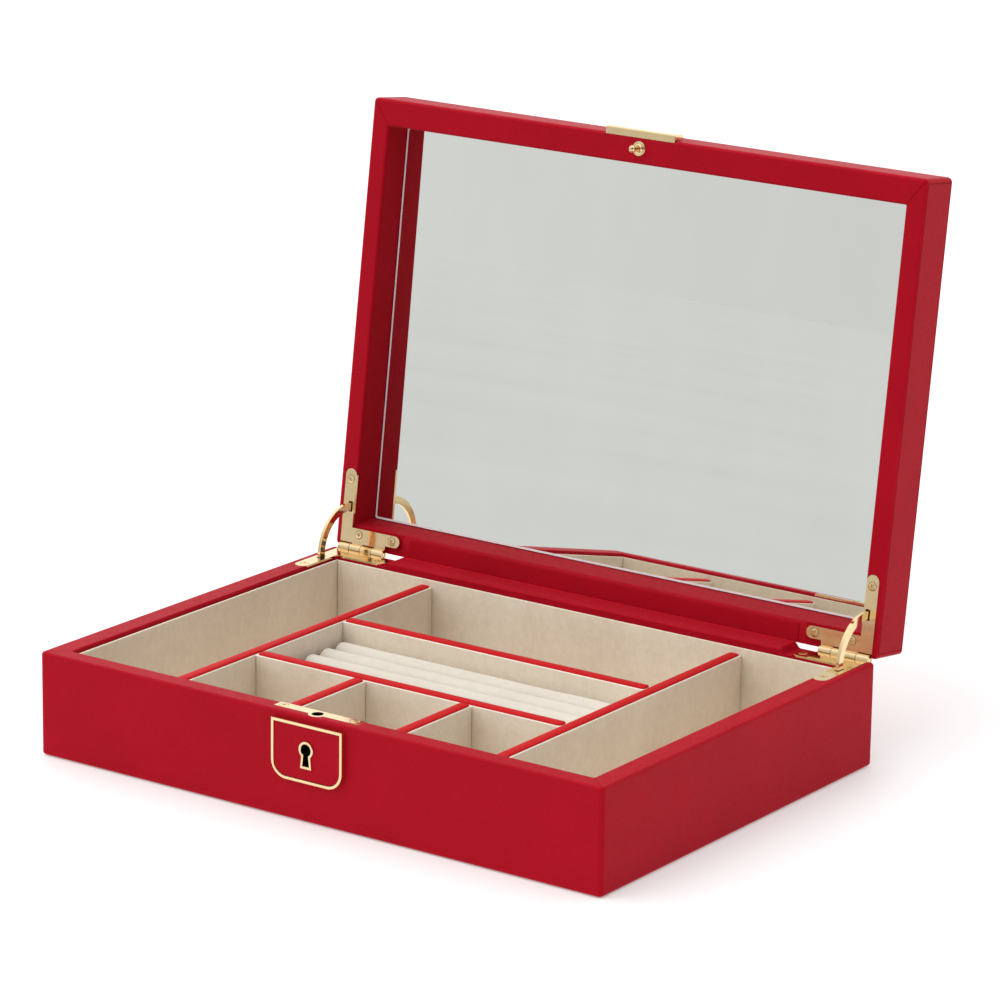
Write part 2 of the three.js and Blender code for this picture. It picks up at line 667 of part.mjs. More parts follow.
const HALF_DIVIDER = DIVIDER_THICKNESS / 2;
const CROSS_X = [LEFT_LONG_X + HALF_DIVIDER + FIT_GAP, RIGHT_LONG_X - HALF_DIVIDER - FIT_GAP];
const LONG_Y = [LINER_FRONT_IN + FIT_GAP, LINER_BACK_IN - FIT_GAP];
const SHORT_Y = [LINER_FRONT_IN + FIT_GAP, FRONT_CROSS_Y - HALF_DIVIDER - FIT_GAP];

const around = (middle, width) => [middle - width / 2, middle + width / 2];

const DIVIDERS = [
  { name: 'left_long', middle: LEFT_LONG_X, span: LONG_Y, alongY: true },
  { name: 'right_long', middle: RIGHT_LONG_X, span: LONG_Y, alongY: true },
  { name: 'rear_cross', middle: REAR_CROSS_Y, span: CROSS_X, alongY: false },
  { name: 'front_cross', middle: FRONT_CROSS_Y, span: CROSS_X, alongY: false },
  { name: 'left_short', middle: LEFT_SHORT_X, span: SHORT_Y, alongY: true },
  { name: 'right_short', middle: RIGHT_SHORT_X, span: SHORT_Y, alongY: true },
];

// A suede-covered board and the rounded leather strip along its top edge.
function dividerMeshes({ name, middle, span, alongY }) {
  const boardAcross = around(middle, DIVIDER_THICKNESS);
  const stripAcross = around(middle, STRIP_WIDTH);
  const boardXY = alongY ? [boardAcross, span] : [span, boardAcross];
  const stripXY = alongY ? [stripAcross, span] : [span, stripAcross];
  const outline = roundedRectangle(...stripXY, STRIP_END_RADIUS);
  const strip = roundedPlate(outline, [STRIP_BOTTOM, STRIP_BOTTOM + STRIP_HEIGHT], STRIP_ROUND, 3);
  return [
    named(name + '_divider', box(...boardXY, [STANDING_Z, DIVIDER_TOP]), SUEDE()),
    named(name + '_strip', strip, STRIP_LEATHER()),
  ];
}

// Ring rolls: upright padded bars with round tops, lying side by side along X.
function ringRolls() {
  const low = FRONT_CROSS_Y + HALF_DIVIDER;
  const high = REAR_CROSS_Y - HALF_DIVIDER;
  const pitch = (high - low) / ROLL_COUNT;
  const radius = (pitch - ROLL_GAP) / 2;
  const x = [CROSS_X[0] + ROLL_START_GAP, CROSS_X[1]];
  const rolls = [];
  for (let index = 0; index < ROLL_COUNT; index++) {
    const y = low + pitch * (index + 0.5);
    const shape = new THREE.Shape();
    shape.moveTo(y - radius, STANDING_Z);
    shape.lineTo(y + radius, STANDING_Z);
    shape.lineTo(y + radius, ROLL_TOP - radius);
    shape.absarc(y, ROLL_TOP - radius, radius, 0, Math.PI);
    rolls.push(named('ring_roll_' + (index + 1), plateAlongX(shape, x), ROLL_SUEDE()));
  }
  return rolls;
}

function hingePin(side) {
  const knuckleNearX = KNUCKLE_FAR_X - KNUCKLE_COUNT * KNUCKLE_LENGTH + KNUCKLE_GAP;
  return rodAlongX(PIN_RADIUS, sideSpan(side, knuckleNearX, KNUCKLE_FAR_X), HINGE_Y, HINGE_Z, PIN_STEPS);
}

const SIDES = [
  { word: 'left', side: -1 },
  { word: 'right', side: 1 },
];

function leafMeshes(half, leaf, own, surfaceZ, down) {
  const meshes = [];
  for (const { word, side } of SIDES) {
    const name = `${word}_${half}_leaf`;
    meshes.push(named(name, hingeLeaf(side, leaf, own, surfaceZ, down), GOLD()));
    leafScrewPlaces(leaf).forEach(({ x, y }, index) => {
      const turn = SCREW_TURN_STEP * (index + 1) * side;
      meshes.push(screw(`${name}_screw_${index + 1}`, { x: side * x, y }, surfaceZ, down, turn));
    });
  }
  return meshes;
}

function baseGroup() {
  const group = new THREE.Group();
  group.add(named('base_case', baseCase(), LEATHER()));
  group.add(named('bottom_pad', bottomPad(), FELT()));
  group.add(...linerMeshes());
  group.add(...DIVIDERS.flatMap(dividerMeshes));
  group.add(...ringRolls());
  group.add(named('escutcheon_frame', escutcheonFrame(), GOLD()));
  group.add(named('escutcheon_inlay', escutcheonInlay(), LEATHER()));
  group.add(named('keyhole_trim', keyholeTrim(), GOLD()));
  group.add(named('lock_case', lockCase(), STEEL()));
  group.add(named('lock_bolt', lockBolt(), STEEL()));
  group.add(named('lock_top_plate', lockTopPlate(), GOLD()));
  topPlateScrews().forEach((place, index) => {
    group.add(screw(`lock_screw_${index + 1}`, place, BASE_TOP, -1, SCREW_TURN_STEP * index));
  });
  group.add(...leafMeshes('base', BASE_LEAF, 0, BASE_TOP, -1));
  for (const { word, side } of SIDES) {
    group.add(named(word + '_hinge_pin', hingePin(side), GOLD()));
  }
  return group;
}

// ---------------------------------------------------------------- lid, drawn shut

function liftCut() {
  const x = LIFT.halfWidth + LIFT.clearance;
  const reach = FRONT_Y + LIFT.rimReach + LIFT.clearance;
  const z = [LID_BOTTOM - OVERCUT, LID_BOTTOM + LIFT.leaf + FIT_GAP];
  return box([-x, x], [FRONT_Y - 2 * OVERCUT, reach], z);
}

// The finger lift: an angle strip round the lid's front edge.
function liftPlate() {
  const x = [-LIFT.halfWidth, LIFT.halfWidth];
  const lipY = [FRONT_Y - LIFT.proud, FRONT_Y - LIFT.clearance];
  const lipZ = [LID_BOTTOM, LID_BOTTOM + LIFT.height];
  const lip = plateAlongX(roundedRectangle(lipY, lipZ, LIFT.round), x, 4);
  const leafY = [lipY[1] - LIFT.round, FRONT_Y + LIFT.rimReach];
  return join(lip, box(x, leafY, [LID_BOTTOM, LID_BOTTOM + LIFT.leaf]));
}

function latchPin() {
  const profile = [[0, -LATCH.ballDrop - LATCH.ballRadius]];
  const neckAngle = Math.asin(LATCH.neckRadius / LATCH.ballRadius);
  for (let step = 1; step <= CURVE_STEPS; step++) {
    const angle = ((Math.PI - neckAngle) * step) / CURVE_STEPS;
    const z = -LATCH.ballDrop - LATCH.ballRadius * Math.cos(angle);
    profile.push([LATCH.ballRadius * Math.sin(angle), z]);
  }
  profile.push([LATCH.neckRadius, -LATCH.coneDrop]);
  profile.push([LATCH.coneRadius, 0]);
  profile.push([LATCH.flangeRadius, 0]);
  profile.push([LATCH.flangeRadius, LATCH.flangeDepth]);
  profile.push([LATCH.stemRadius, LATCH.flangeDepth]);
  profile.push([LATCH.stemRadius, LATCH.stemDepth]);
  profile.push([0, LATCH.stemDepth]);
  return turned(profile);
}

function latchCuts() {
  const flangeZ = [LID_BOTTOM - OVERCUT, LID_BOTTOM + LATCH.flangeDepth + FIT_GAP];
  const stemZ = [LID_BOTTOM, LID_BOTTOM + LATCH.stemDepth + FIT_GAP];
  return [
    rod(LATCH.flangeRadius + FIT_GAP, flangeZ, 0, LOCK_Y),
    rod(LATCH.stemRadius + FIT_GAP, stemZ, 0, LOCK_Y),
  ];
}

// The recess widens from the mirror to the rim at its back wall.
function lidFlare() {
  const back = LID_INNER.back - OVERCUT;
  const shape = new THREE.Shape();
  shape.moveTo(back, LID_BOTTOM - OVERCUT);
  shape.lineTo(LID_INNER.back + LID_FLARE, LID_BOTTOM - OVERCUT);
  shape.lineTo(LID_INNER.back + LID_FLARE, LID_BOTTOM);
  shape.lineTo(LID_INNER.back, MIRROR_FACE - FIT_GAP);
  shape.lineTo(back, MIRROR_FACE - FIT_GAP);
  return plateAlongX(shape, [-LID_INNER.side, LID_INNER.side], 1);
}

function lidCase() {
  const inner = [-LID_INNER.side, LID_INNER.side];
  const recess = box(inner, [LID_INNER.front, LID_INNER.back], [LID_BOTTOM - OVERCUT, LID_RECESS_TOP]);
  const hinges = [-1, 1].flatMap((side) => hingeCuts(side, LID_LEAF, LID_BOTTOM, 1));
  const block = caseBlock([LID_BOTTOM, LID_TOP]);
  return cut(block, recess, lidFlare(), spineRecess(), liftCut(), ...latchCuts(), ...hinges);
}

function mirrorPanel(z, gap) {
  const x = LID_INNER.side - gap;
  return box([-x, x], [LID_INNER.front + gap, LID_INNER.back - gap], z);
}

function lidGroup() {
  const shut = new THREE.Group();
  shut.position.set(0, -HINGE_Y, -HINGE_Z);
  shut.add(named('lid_case', lidCase(), LEATHER()));
  const glassZ = [MIRROR_FACE, MIRROR_FACE + MIRROR_THICKNESS];
  const backingBottom = glassZ[1] + BACKING_GAP.face;
  const backingZ = [backingBottom, backingBottom + BACKING_THICKNESS];
  shut.add(named('mirror_glass', mirrorPanel(glassZ, MIRROR_GAP), MIRROR()));
  shut.add(named('mirror_backing', mirrorPanel(backingZ, BACKING_GAP.side), BOARD()));
  shut.add(named('lift_plate', liftPlate(), GOLD()));
  const pin = named('latch_pin', latchPin(), GOLD());
  pin.position.set(0, LOCK_Y, LID_BOTTOM);
  shut.add(pin);
  shut.add(...leafMeshes('lid', LID_LEAF, 1, LID_BOTTOM, 1));
  return aboutHinge(shut, OPEN_ANGLE);
}

// Opens a group that was drawn with the lid shut by the given angle about the hinge axis.
function aboutHinge(shut, angle) {
  const hinge = new THREE.Group();
  hinge.position.set(0, HINGE_Y, HINGE_Z);
  hinge.rotation.x = -angle;
  hinge.add(shut);
  return hinge;
}

function armGroup(word, side) {
  const shut = new THREE.Group();
  shut.position.set(0, -HINGE_Y, -HINGE_Z);
  shut.add(named(word + '_stay_arm', stayArm(side), GOLD()));
  return aboutHinge(shut, OPEN_ANGLE / 2);
}

// ---------------------------------------------------------------- the whole case

const jewelleryCase = new THREE.Group();
jewelleryCase.add(baseGroup());
jewelleryCase.add(lidGroup());
for (const { word, side } of SIDES) {
  jewelleryCase.add(armGroup(word, side));
}

export default jewelleryCase;
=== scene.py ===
"""The looks of a red leather jewellery case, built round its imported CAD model.

Shapes are worked out in millimetres in the CAD's frame, and meshes hold metres. Pieces of the
lid are drawn with the lid shut, and turned to the open rest position about the hinge.
"""

import json
import math

import bmesh
import bpy
from mathutils import Matrix, Vector, noise


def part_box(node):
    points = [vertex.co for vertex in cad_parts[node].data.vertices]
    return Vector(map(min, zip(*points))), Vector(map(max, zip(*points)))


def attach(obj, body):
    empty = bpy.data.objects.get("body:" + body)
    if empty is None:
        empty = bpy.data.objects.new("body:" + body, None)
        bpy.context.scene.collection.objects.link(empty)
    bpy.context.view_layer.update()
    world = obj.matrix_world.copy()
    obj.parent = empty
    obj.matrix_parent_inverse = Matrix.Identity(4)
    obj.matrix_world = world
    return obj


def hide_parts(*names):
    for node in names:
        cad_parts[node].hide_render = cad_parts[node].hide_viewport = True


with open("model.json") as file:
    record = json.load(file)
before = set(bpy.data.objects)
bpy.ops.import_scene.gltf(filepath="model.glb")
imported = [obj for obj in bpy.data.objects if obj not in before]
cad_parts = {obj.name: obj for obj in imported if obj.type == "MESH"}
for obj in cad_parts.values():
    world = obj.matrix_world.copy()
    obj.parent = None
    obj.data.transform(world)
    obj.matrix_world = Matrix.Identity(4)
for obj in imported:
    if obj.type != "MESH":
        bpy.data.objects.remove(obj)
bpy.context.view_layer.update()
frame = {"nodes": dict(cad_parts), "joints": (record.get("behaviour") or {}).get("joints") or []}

MM = 0.001
JOINTS = {joint["name"]: joint for joint in frame["joints"]}
HINGE = Vector(JOINTS["lid_hinge"]["pos_m"])
HINGE_Y, HINGE_Z = HINGE.y / MM, HINGE.z / MM
OPEN_ANGLE = math.radians(JOINTS["lid_hinge"]["range_deg"][1])
SIDES = (("left", -1), ("right", 1))


def node_box(node):
    """The lowest and highest corner of a CAD node, in millimetres."""
    low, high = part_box(node)
    return low / MM, high / MM


def opened(angle):
    """The turn that takes a piece from the shut lid to a lid open by this angle."""
    turn = Matrix.Rotation(-angle, 4, "X")
    return Matrix.Translation(HINGE) @ turn @ Matrix.Translation(-HINGE)


REST = Matrix.Identity(4)
LID_OPEN = opened(OPEN_ANGLE)
ARM_OPEN = opened(OPEN_ANGLE / 2)

# ---------------------------------------------------------------- sizes, in millimetres

BASE_LOW, BASE_HIGH = node_box("base_case")
HALF_WIDTH, HALF_DEPTH = BASE_HIGH.x, BASE_HIGH.y
FRONT_Y = BASE_LOW.y
SPINE_RISE = 1.2
SPINE_CROWN = 0.45
RIM_Z = BASE_HIGH.z - SPINE_RISE
FRONT_CORNER = 2.0
BACK_CORNER = 1.8
EDGE_ROUND = 1.3
INNER_ROUND = 1.0
BACK_INNER_ROUND = 1.9
SPINE_END_X = 99.0
BASE_INNER_X = (-123.7, 123.7)
BASE_INNER_Y = (-86.5, 83.8)
BASE_FLOOR = 4.0

LID_RIM = 42.9
LID_TOP = 63.4
LID_INNER_X = (-125.0, 125.0)
LID_INNER_Y = (-83.8, 84.2)
LID_RECESS = 60.3
LID_FLARE = 1.8
LID_SPINE_RISE = 0.95 + SPINE_CROWN
MIRROR_Z = (57.0, 59.0)
MIRROR_GAP = 0.4
MIRROR_ARRIS = 0.9
MIRROR_ARRIS_DEPTH = 0.18
MIRROR_LEAN = 0.6

SEAM_WIDTH = 0.2
SEAM_DEPTH = 0.25
PANEL_INSET = 1.5
PANEL_RIM_INSET = 1.2
PANEL_SEAM_WIDTH = 0.26
PANEL_SEAM_DEPTH = 0.25

# Base leaves (-1, sunk downwards) look thinner than lid leaves (1, sunk upwards).
LEAF_THICKNESS = {-1: 0.8, 1: 1.6}
BASE_LEAF = {"inner": 123.9, "outer": 130.4, "leg_inner": 84.0}
LID_LEAF = {"inner": 125.4, "outer": 131.0, "leg_inner": 86.8}
LEAF_FRONT_Y = 61.8
LEAF_BACK_Y = 93.2
LEAF_LEG_BACK_Y = 91.8
LEAF_LEG_END_X = 100.4
LEAF_ROUND = {-1: 0.3, 1: 0.5}
KNUCKLE_FAR_X = 130.6
KNUCKLE_LENGTH = 5.75
KNUCKLE_COUNT = 4
KNUCKLE_GAP = 0.2
KNUCKLE_NEAR_X = KNUCKLE_FAR_X - KNUCKLE_COUNT * KNUCKLE_LENGTH
BARREL_RADIUS = 2.0
BARREL_BORE = 1.15
PIN_RADIUS = 0.95
NOTCH_GAP = 0.35
MORTISE_GAP = 0.15
RAMP_HIGH_X = 96.0
RAMP_LOW_X = 99.0
RAMP_FAR_X = 131.0
RAMP_END_X = 102.0
RAMP_FRONT_Y = 86.0

ARM_X = 127.3
ARM_THICKNESS = 1.4
ARM_RADII = (16.1, 19.3)
ARM_HALF_ANGLE = math.radians(56.5)
ARM_NIB_ANGLE = math.radians(2.3)
ARM_NIB_HEIGHT = 1.0
SLOT_WIDTH = 2.2
POCKET_RADII = (15.4, 20.9)
POCKET_ANGLE = math.radians(60)

SCREW_HEAD = 1.7
SCREW_SHANK = 0.8
SCREW_DEPTH = 1.0
SCREW_LENGTH = 7.0
SCREW_CROSS = (1.0, 0.26, 0.55)

LOCK_Y = -90.0
PLATE = {"half": 20.0, "front": -91.2, "thickness": 1.0, "boss": 3.7, "hole": 2.3}
PLATE_SCREW = (16.8, -88.85)
KEYHOLE = {"z": 30.0, "radius": 2.35, "bottom": 23.5, "slot_top": 1.1, "slot_bottom": 1.6}
TRIM_BORDER = 1.05
TRIM_PROUD = 0.5
TRIM_DEPTH = 2.4
TRIM_GAP = 0.08
SHIELD = {"half": 16.8, "bottom": 16.6, "top": 40.0, "corner": 7.0, "border": 1.15, "proud": 2.2}
INLAY_PROUD = 2.0

# ---------------------------------------------------------------- mesh helpers


def mesh_piece(name, points, faces):
    mesh = bpy.data.meshes.new(name)
    mesh.from_pydata([Vector(point) * MM for point in points], [], faces)
    shape = bmesh.new()
    shape.from_mesh(mesh)
    bmesh.ops.recalc_face_normals(shape, faces=shape.faces)
    shape.to_mesh(mesh)
    shape.free()
    piece = bpy.data.objects.new(name, mesh)
    bpy.context.scene.collection.objects.link(piece)
    return piece


def loft(name, rings, endless=False):
    """A skin over rings with equally many points, with flat ends or joined end to start."""
    count = len(rings[0])
    points = [point for ring in rings for point in ring]
    faces = []
    last = len(rings) if endless else len(rings) - 1
    for row in range(last):
        here, there = row * count, (row + 1) % len(rings) * count
        for k in range(count):
            after = (k + 1) % count
            faces.append((here + k, here + after, there + after, there + k))
    if not endless:
        faces.append(tuple(range(count)))
        faces.append(tuple(range(last * count, (last + 1) * count)))
    return mesh_piece(name, points, faces)


def lathe(name, profile, steps=48, place=(0, 0, 0)):
    """Turns (radius, z) points about Z. The first and last point are on the axis."""
    inner = profile[1:-1]
    points = [(0, 0, profile[0][1])]
    for radius, z in inner:
        for k in range(steps):
            angle = 2 * math.pi * k / steps
            points.append((radius * math.cos(angle), radius * math.sin(angle), z))
    points.append((0, 0, profile[-1][1]))
    faces = []
    for k in range(steps):
        after = (k + 1) % steps
        faces.append((0, 1 + after, 1 + k))
        for row in range(len(inner) - 1):
            here, there = 1 + row * steps, 1 + (row + 1) * steps
            faces.append((here + k, here + after, there + after, there + k))
        end = 1 + (len(inner) - 1) * steps
        faces.append((end + k, end + after, len(points) - 1))
    moved = [(x + place[0], y + place[1], z + place[2]) for x, y, z in points]
    return mesh_piece(name, moved, faces)


def slab(x, y, z, name="tool"):
    ring = [(x[0], y[0]), (x[1], y[0]), (x[1], y[1]), (x[0], y[1])]
    return loft(name, [[(*point, height) for point in ring] for height in z])


def prism(outline, z, name="tool"):
    """A flat outline of (x, y) points, thick from z[0] to z[1]."""
    return loft(name, [[(*point, height) for point in outline] for height in z])


def prism_x(outline, x, name="tool"):
    """A flat outline of (y, z) points, thick from x[0] to x[1]."""
    return loft(name, [[(place, *point) for point in outline] for place in x])


def prism_y(outline, y, name="tool"):
    """A flat outline of (x, z) points, thick from y[0] to y[1]."""
    return loft(name, [[(point[0], place, point[1]) for point in outline] for place in y])


def rod_x(radius, x, y, z, steps=40, name="tool"):
    angles = [2 * math.pi * k / steps for k in range(steps)]
    ring = [(y + radius * math.cos(a), z + radius * math.sin(a)) for a in angles]
    return prism_x(ring, x, name)


def rod_z(radius, x, y, z, steps=40, name="tool"):
    angles = [2 * math.pi * k / steps for k in range(steps)]
    return prism([(x + radius * math.cos(a), y + radius * math.sin(a)) for a in angles], z, name)


def apply_modifiers(piece):
    bpy.context.view_layer.update()
    depsgraph = bpy.context.evaluated_depsgraph_get()
    baked = bpy.data.meshes.new_from_object(piece.evaluated_get(depsgraph))
    piece.modifiers.clear()
    piece.data = baked
    return piece


def combine(piece, operation, tools):
    for tool in tools:
        modifier = piece.modifiers.new("combine", "BOOLEAN")
        modifier.operation = operation
        modifier.solver = "EXACT"
        modifier.object = tool
        apply_modifiers(piece)
        bpy.data.objects.remove(tool)
    return piece


def cut(piece, *tools):
    return combine(piece, "DIFFERENCE", tools)


def join(piece, *tools):
    return combine(piece, "UNION", tools)


def tidy_mesh(piece, distance=0.01):
    """Merges doubled points and straightens flat faces that booleans split."""
    shape = bmesh.new()
    shape.from_mesh(piece.data)
    bmesh.ops.remove_doubles(shape, verts=shape.verts, dist=distance * MM)
    bmesh.ops.dissolve_degenerate(shape, edges=shape.edges, dist=distance * MM)
    shape.to_mesh(piece.data)
    shape.free()
    return piece


def round_edges(piece, width, segments=3, angle=38):
    bevel = piece.modifiers.new("round", "BEVEL")
    bevel.width = width * MM
    bevel.segments = segments
    bevel.limit_method = "ANGLE"
    bevel.angle_limit = math.radians(angle)
    return apply_modifiers(piece)


def smooth(piece, angle=32):
    """Smooth shading that stays flat on flat faces and breaks at sharp edges."""
    piece.data.shade_smooth()
    piece.data.set_sharp_from_angle(angle=math.radians(angle))
    normals = piece.modifiers.new("normals", "WEIGHTED_NORMAL")
    normals.keep_sharp = True
    normals.weight = 100
    return piece


def finished(piece, name, body, material, nodes, turn=REST):
    piece.name = name
    piece.data.name = name
    piece.matrix_world = turn
    piece.data.materials.clear()
    piece.data.materials.append(material)
    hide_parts(*nodes)
    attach(piece, body)
    return piece


def gilt(piece, node, body, turn=REST):
    return finished(piece, "fine_" + node, body, BRASS, [node], turn)


def span_x(side, near, far):
    """A span of x on one side of the case, lowest first."""
    return (near, far) if side > 0 else (-far, -near)


# ---------------------------------------------------------------- material helpers


def linear(red, green, blue):
    """A colour given as 0 to 255 display values, as the linear colour that shaders take."""
    parts = [value / 255 for value in (red, green, blue)]
    curve = [p / 12.92 if p <= 0.04045 else ((p + 0.055) / 1.055) ** 2.4 for p in parts]
    return (*curve, 1)


def new_material(name, **fixed):
    material = bpy.data.materials.new(name)
    material.use_nodes = True
    shader = material.node_tree.nodes["Principled BSDF"]
    for key, value in fixed.items():
        shader.inputs[key.replace("_", " ")].default_value = value
    return material, material.node_tree, shader


def add_node(tree, kind, inputs=(), **settings):
    made = tree.nodes.new(kind)
    for key, value in settings.items():
        setattr(made, key, value)
    for key, value in dict(inputs).items():
        if isinstance(value, bpy.types.NodeSocket):
            tree.links.new(value, made.inputs[key])
        else:
            made.inputs[key].default_value = value
    return made


def plug(tree, shader, **sockets):
    for key, value in sockets.items():
        tree.links.new(value, shader.inputs[key.replace("_", " ")])


def object_place(tree):
    return add_node(tree, "ShaderNodeTexCoord").outputs["Object"]


def noise_value(tree, place, scale, detail=3.0, roughness=0.55, distortion=0.0):
    inputs = {"Vector": place, "Scale": scale, "Detail": detail,
              "Roughness": roughness, "Distortion": distortion}
    return add_node(tree, "ShaderNodeTexNoise", inputs).outputs["Fac"]


def cell_value(tree, place, scale, smoothness=0.35):
    inputs = {"Vector": place, "Scale": scale, "Smoothness": smoothness}
    made = add_node(tree, "ShaderNodeTexVoronoi", inputs, feature="SMOOTH_F1")
    return made.outputs["Distance"]


def maths(tree, operation, first, second=0.0, clamp=False):
    made = add_node(tree, "ShaderNodeMath", {0: first, 1: second}, operation=operation)
    made.use_clamp = clamp
    return made.outputs[0]


def weighed(tree, *pairs):
    """The sum of value times weight over the pairs."""
    total = 0.0
    for value, weight in pairs:
        total = maths(tree, "ADD", maths(tree, "MULTIPLY", value, weight), total)
    return total


def between(tree, value, low, high, start=0.3, end=0.7):
    inputs = {"Value": value, "From Min": start, "From Max": end, "To Min": low, "To Max": high}
    return add_node(tree, "ShaderNodeMapRange", inputs).outputs["Result"]


def tones(tree, value, *stops):
    ramp = add_node(tree, "ShaderNodeValToRGB", {"Fac": value})
    elements = ramp.color_ramp.elements
    elements[0].position, elements[0].color = stops[0]
    elements[1].position, elements[1].color = stops[-1]
    for position, color in stops[1:-1]:
        elements.new(position).color = color
    return ramp.outputs["Color"]


def stretched(tree, place, scale):
    inputs = {"Vector": place, "Scale": scale}
    return add_node(tree, "ShaderNodeMapping", inputs).outputs["Vector"]


def bump(tree, shader, height, strength, distance):
    inputs = {"Height": height, "Strength": strength, "Distance": distance * MM}
    made = add_node(tree, "ShaderNodeBump", inputs)
    tree.links.new(made.outputs["Normal"], shader.inputs["Normal"])


def edge_mask(tree, place, low, high, reach):
    """1 along the outer edges of a box and 0 on its faces; the box is in millimetres."""
    middle = (Vector(low) + Vector(high)) / 2 * MM
    half = (Vector(high) - Vector(low)) / 2 * MM
    start = half - Vector((reach * MM,) * 3)
    moved = add_node(tree, "ShaderNodeVectorMath", {0: place, 1: middle}, operation="SUBTRACT")
    sized = add_node(tree, "ShaderNodeVectorMath", {0: moved.outputs[0]}, operation="ABSOLUTE")
    inner = add_node(tree, "ShaderNodeVectorMath", {0: sized.outputs[0], 1: start}, operation="SUBTRACT")
    parts = add_node(tree, "ShaderNodeSeparateXYZ", {0: inner.outputs[0]}).outputs
    x, y, z = [maths(tree, "MULTIPLY", part, 1 / (reach * MM), clamp=True) for part in parts]
    pairs = [maths(tree, "MULTIPLY", first, second) for first, second in ((x, y), (y, z), (z, x))]
    return maths(tree, "MAXIMUM", maths(tree, "MAXIMUM", pairs[0], pairs[1]), pairs[2])


# ---------------------------------------------------------------- materials

LEATHER_DEEP = (0.345, 0.0006, 0.0088, 1)
LEATHER_BRIGHT = (0.425, 0.0012, 0.0126, 1)
LEATHER_WORN = (0.48, 0.0050, 0.0200, 1)


def leather(name, low, high, deep=LEATHER_DEEP, bright=LEATHER_BRIGHT, worn=LEATHER_WORN):
    """Fine-grained calf leather, a little lighter where its edges are handled."""
    material, tree, shader = new_material(
        name, Specular_IOR_Level=0.08, Sheen_Weight=0.06, Sheen_Roughness=0.3
    )
    place = object_place(tree)
    cloud = noise_value(tree, place, 38, detail=4)
    pebble = cell_value(tree, place, 1250)
    crease = noise_value(tree, place, 620, detail=4, roughness=0.65)
    tone = weighed(tree, (cloud, 0.55), (pebble, 0.3), (crease, 0.25))
    tone = maths(tree, "ADD", tone, maths(tree, "MULTIPLY", edge_mask(tree, place, low, high, 1.6), 0.45))
    color = tones(tree, tone, (0.3, deep), (0.75, bright), (1.0, worn))
    plug(tree, shader, Base_Color=color, Roughness=between(tree, crease, 0.46, 0.62))
    bump(tree, shader, weighed(tree, (pebble, 0.6), (crease, 0.5)), 0.35, 0.14)
    return material


def suede(name, dark, light, sheen=0.25, edge_z=None, rub_and_highlight=0.7):
    """Brushed nap with soft blotches and fibre noise, and a painted highlight that makes it paler along a top
    edge at edge_z.
    """
    material, tree, shader = new_material(
        name, Sheen_Weight=sheen, Sheen_Roughness=0.4, Specular_IOR_Level=0.1, Roughness=0.95
    )
    place = object_place(tree)
    stroke = noise_value(tree, stretched(tree, place, (1, 1, 0.6)), 26, detail=4, distortion=0.4)
    speckle = noise_value(tree, place, 1500, detail=2, roughness=0.7)
    fleck = noise_value(tree, place, 300, detail=3, roughness=0.6)
    tone = weighed(tree, (stroke, 0.5), (speckle, 0.3), (fleck, 0.3))
    stops = [(0.38, dark), (0.72, light)]
    # Painted highlight: the nap is painted paler just below edge_z, where light from above catches the top
    # edge.
    if edge_z:
        height = add_node(tree, "ShaderNodeSeparateXYZ", {0: place}).outputs[2]
        painted_top_highlight = between(tree, height, 0.0, rub_and_highlight, (edge_z - 0.3) * MM, (edge_z - 0.1) * MM)
        tone = maths(tree, "ADD", tone, painted_top_highlight)
        stops.append((1.0, SUEDE_TOP_HIGHLIGHT))
    plug(tree, shader, Base_Color=tones(tree, tone, *stops))
    bump(tree, shader, weighed(tree, (speckle, 0.7), (fleck, 0.5)), 0.5, 0.12)
    return material


def brass(name):
    """Gilt, polished brass with faint rub marks."""
    material, tree, shader = new_material(name, Metallic=1.0)
    place = object_place(tree)
    cloud = noise_value(tree, place, 160, detail=3)
    rub_and_highlight = noise_value(tree, stretched(tree, place, (1, 6, 1)), 900, detail=3)
    color = tones(tree, cloud, (0.3, (0.84, 0.63, 0.35, 1)), (0.7, (0.90, 0.70, 0.41, 1)))
    plug(tree, shader, Base_Color=color, Roughness=between(tree, rub_and_highlight, 0.06, 0.15))
    bump(tree, shader, weighed(tree, (rub_and_highlight, 0.4), (cloud, 0.6)), 0.06, 0.05)
    return material


def steel(name):
    """Dull plated steel of the lock inside the wall."""
    material, tree, shader = new_material(name, Metallic=1.0)
    grain = noise_value(tree, stretched(tree, object_place(tree), (1, 1, 8)), 500, detail=4)
    color = tones(tree, grain, (0.3, (0.20, 0.18, 0.16, 1)), (0.7, (0.34, 0.31, 0.28, 1)))
    plug(tree, shader, Base_Color=color, Roughness=between(tree, grain, 0.3, 0.5))
    return material


def mirror_glass(name):
    """Silvered glass with a faint green cast and slight smears."""
    material, tree, shader = new_material(name, Metallic=1.0)
    smear = noise_value(tree, stretched(tree, object_place(tree), (1, 0.4, 1)), 30, detail=5, roughness=0.6)
    color = tones(tree, smear, (0.3, (0.90, 0.925, 0.875, 1)), (0.7, (0.93, 0.955, 0.905, 1)))
    plug(tree, shader, Base_Color=color, Roughness=between(tree, smear, 0.0, 0.025))
    return material


def ground_glass_painted_glow(name):
    """The frosted grey of a ground arris, with a faint white glow that is painted light, since the arris is
    no lamp.
    """
    # The white emission is painted light that brightens the arris.
    material, tree, shader = new_material(name, Roughness=0.45, Emission_Strength=0.14)
    shader.inputs["Emission Color"].default_value = (1, 1, 1, 1)
    grain = noise_value(tree, object_place(tree), 700, detail=3)
    color = tones(tree, grain, (0.3, (0.80, 0.82, 0.82, 1)), (0.7, (0.95, 0.96, 0.96, 1)))
    plug(tree, shader, Base_Color=color)
    bump(tree, shader, grain, 0.2, 0.03)
    return material


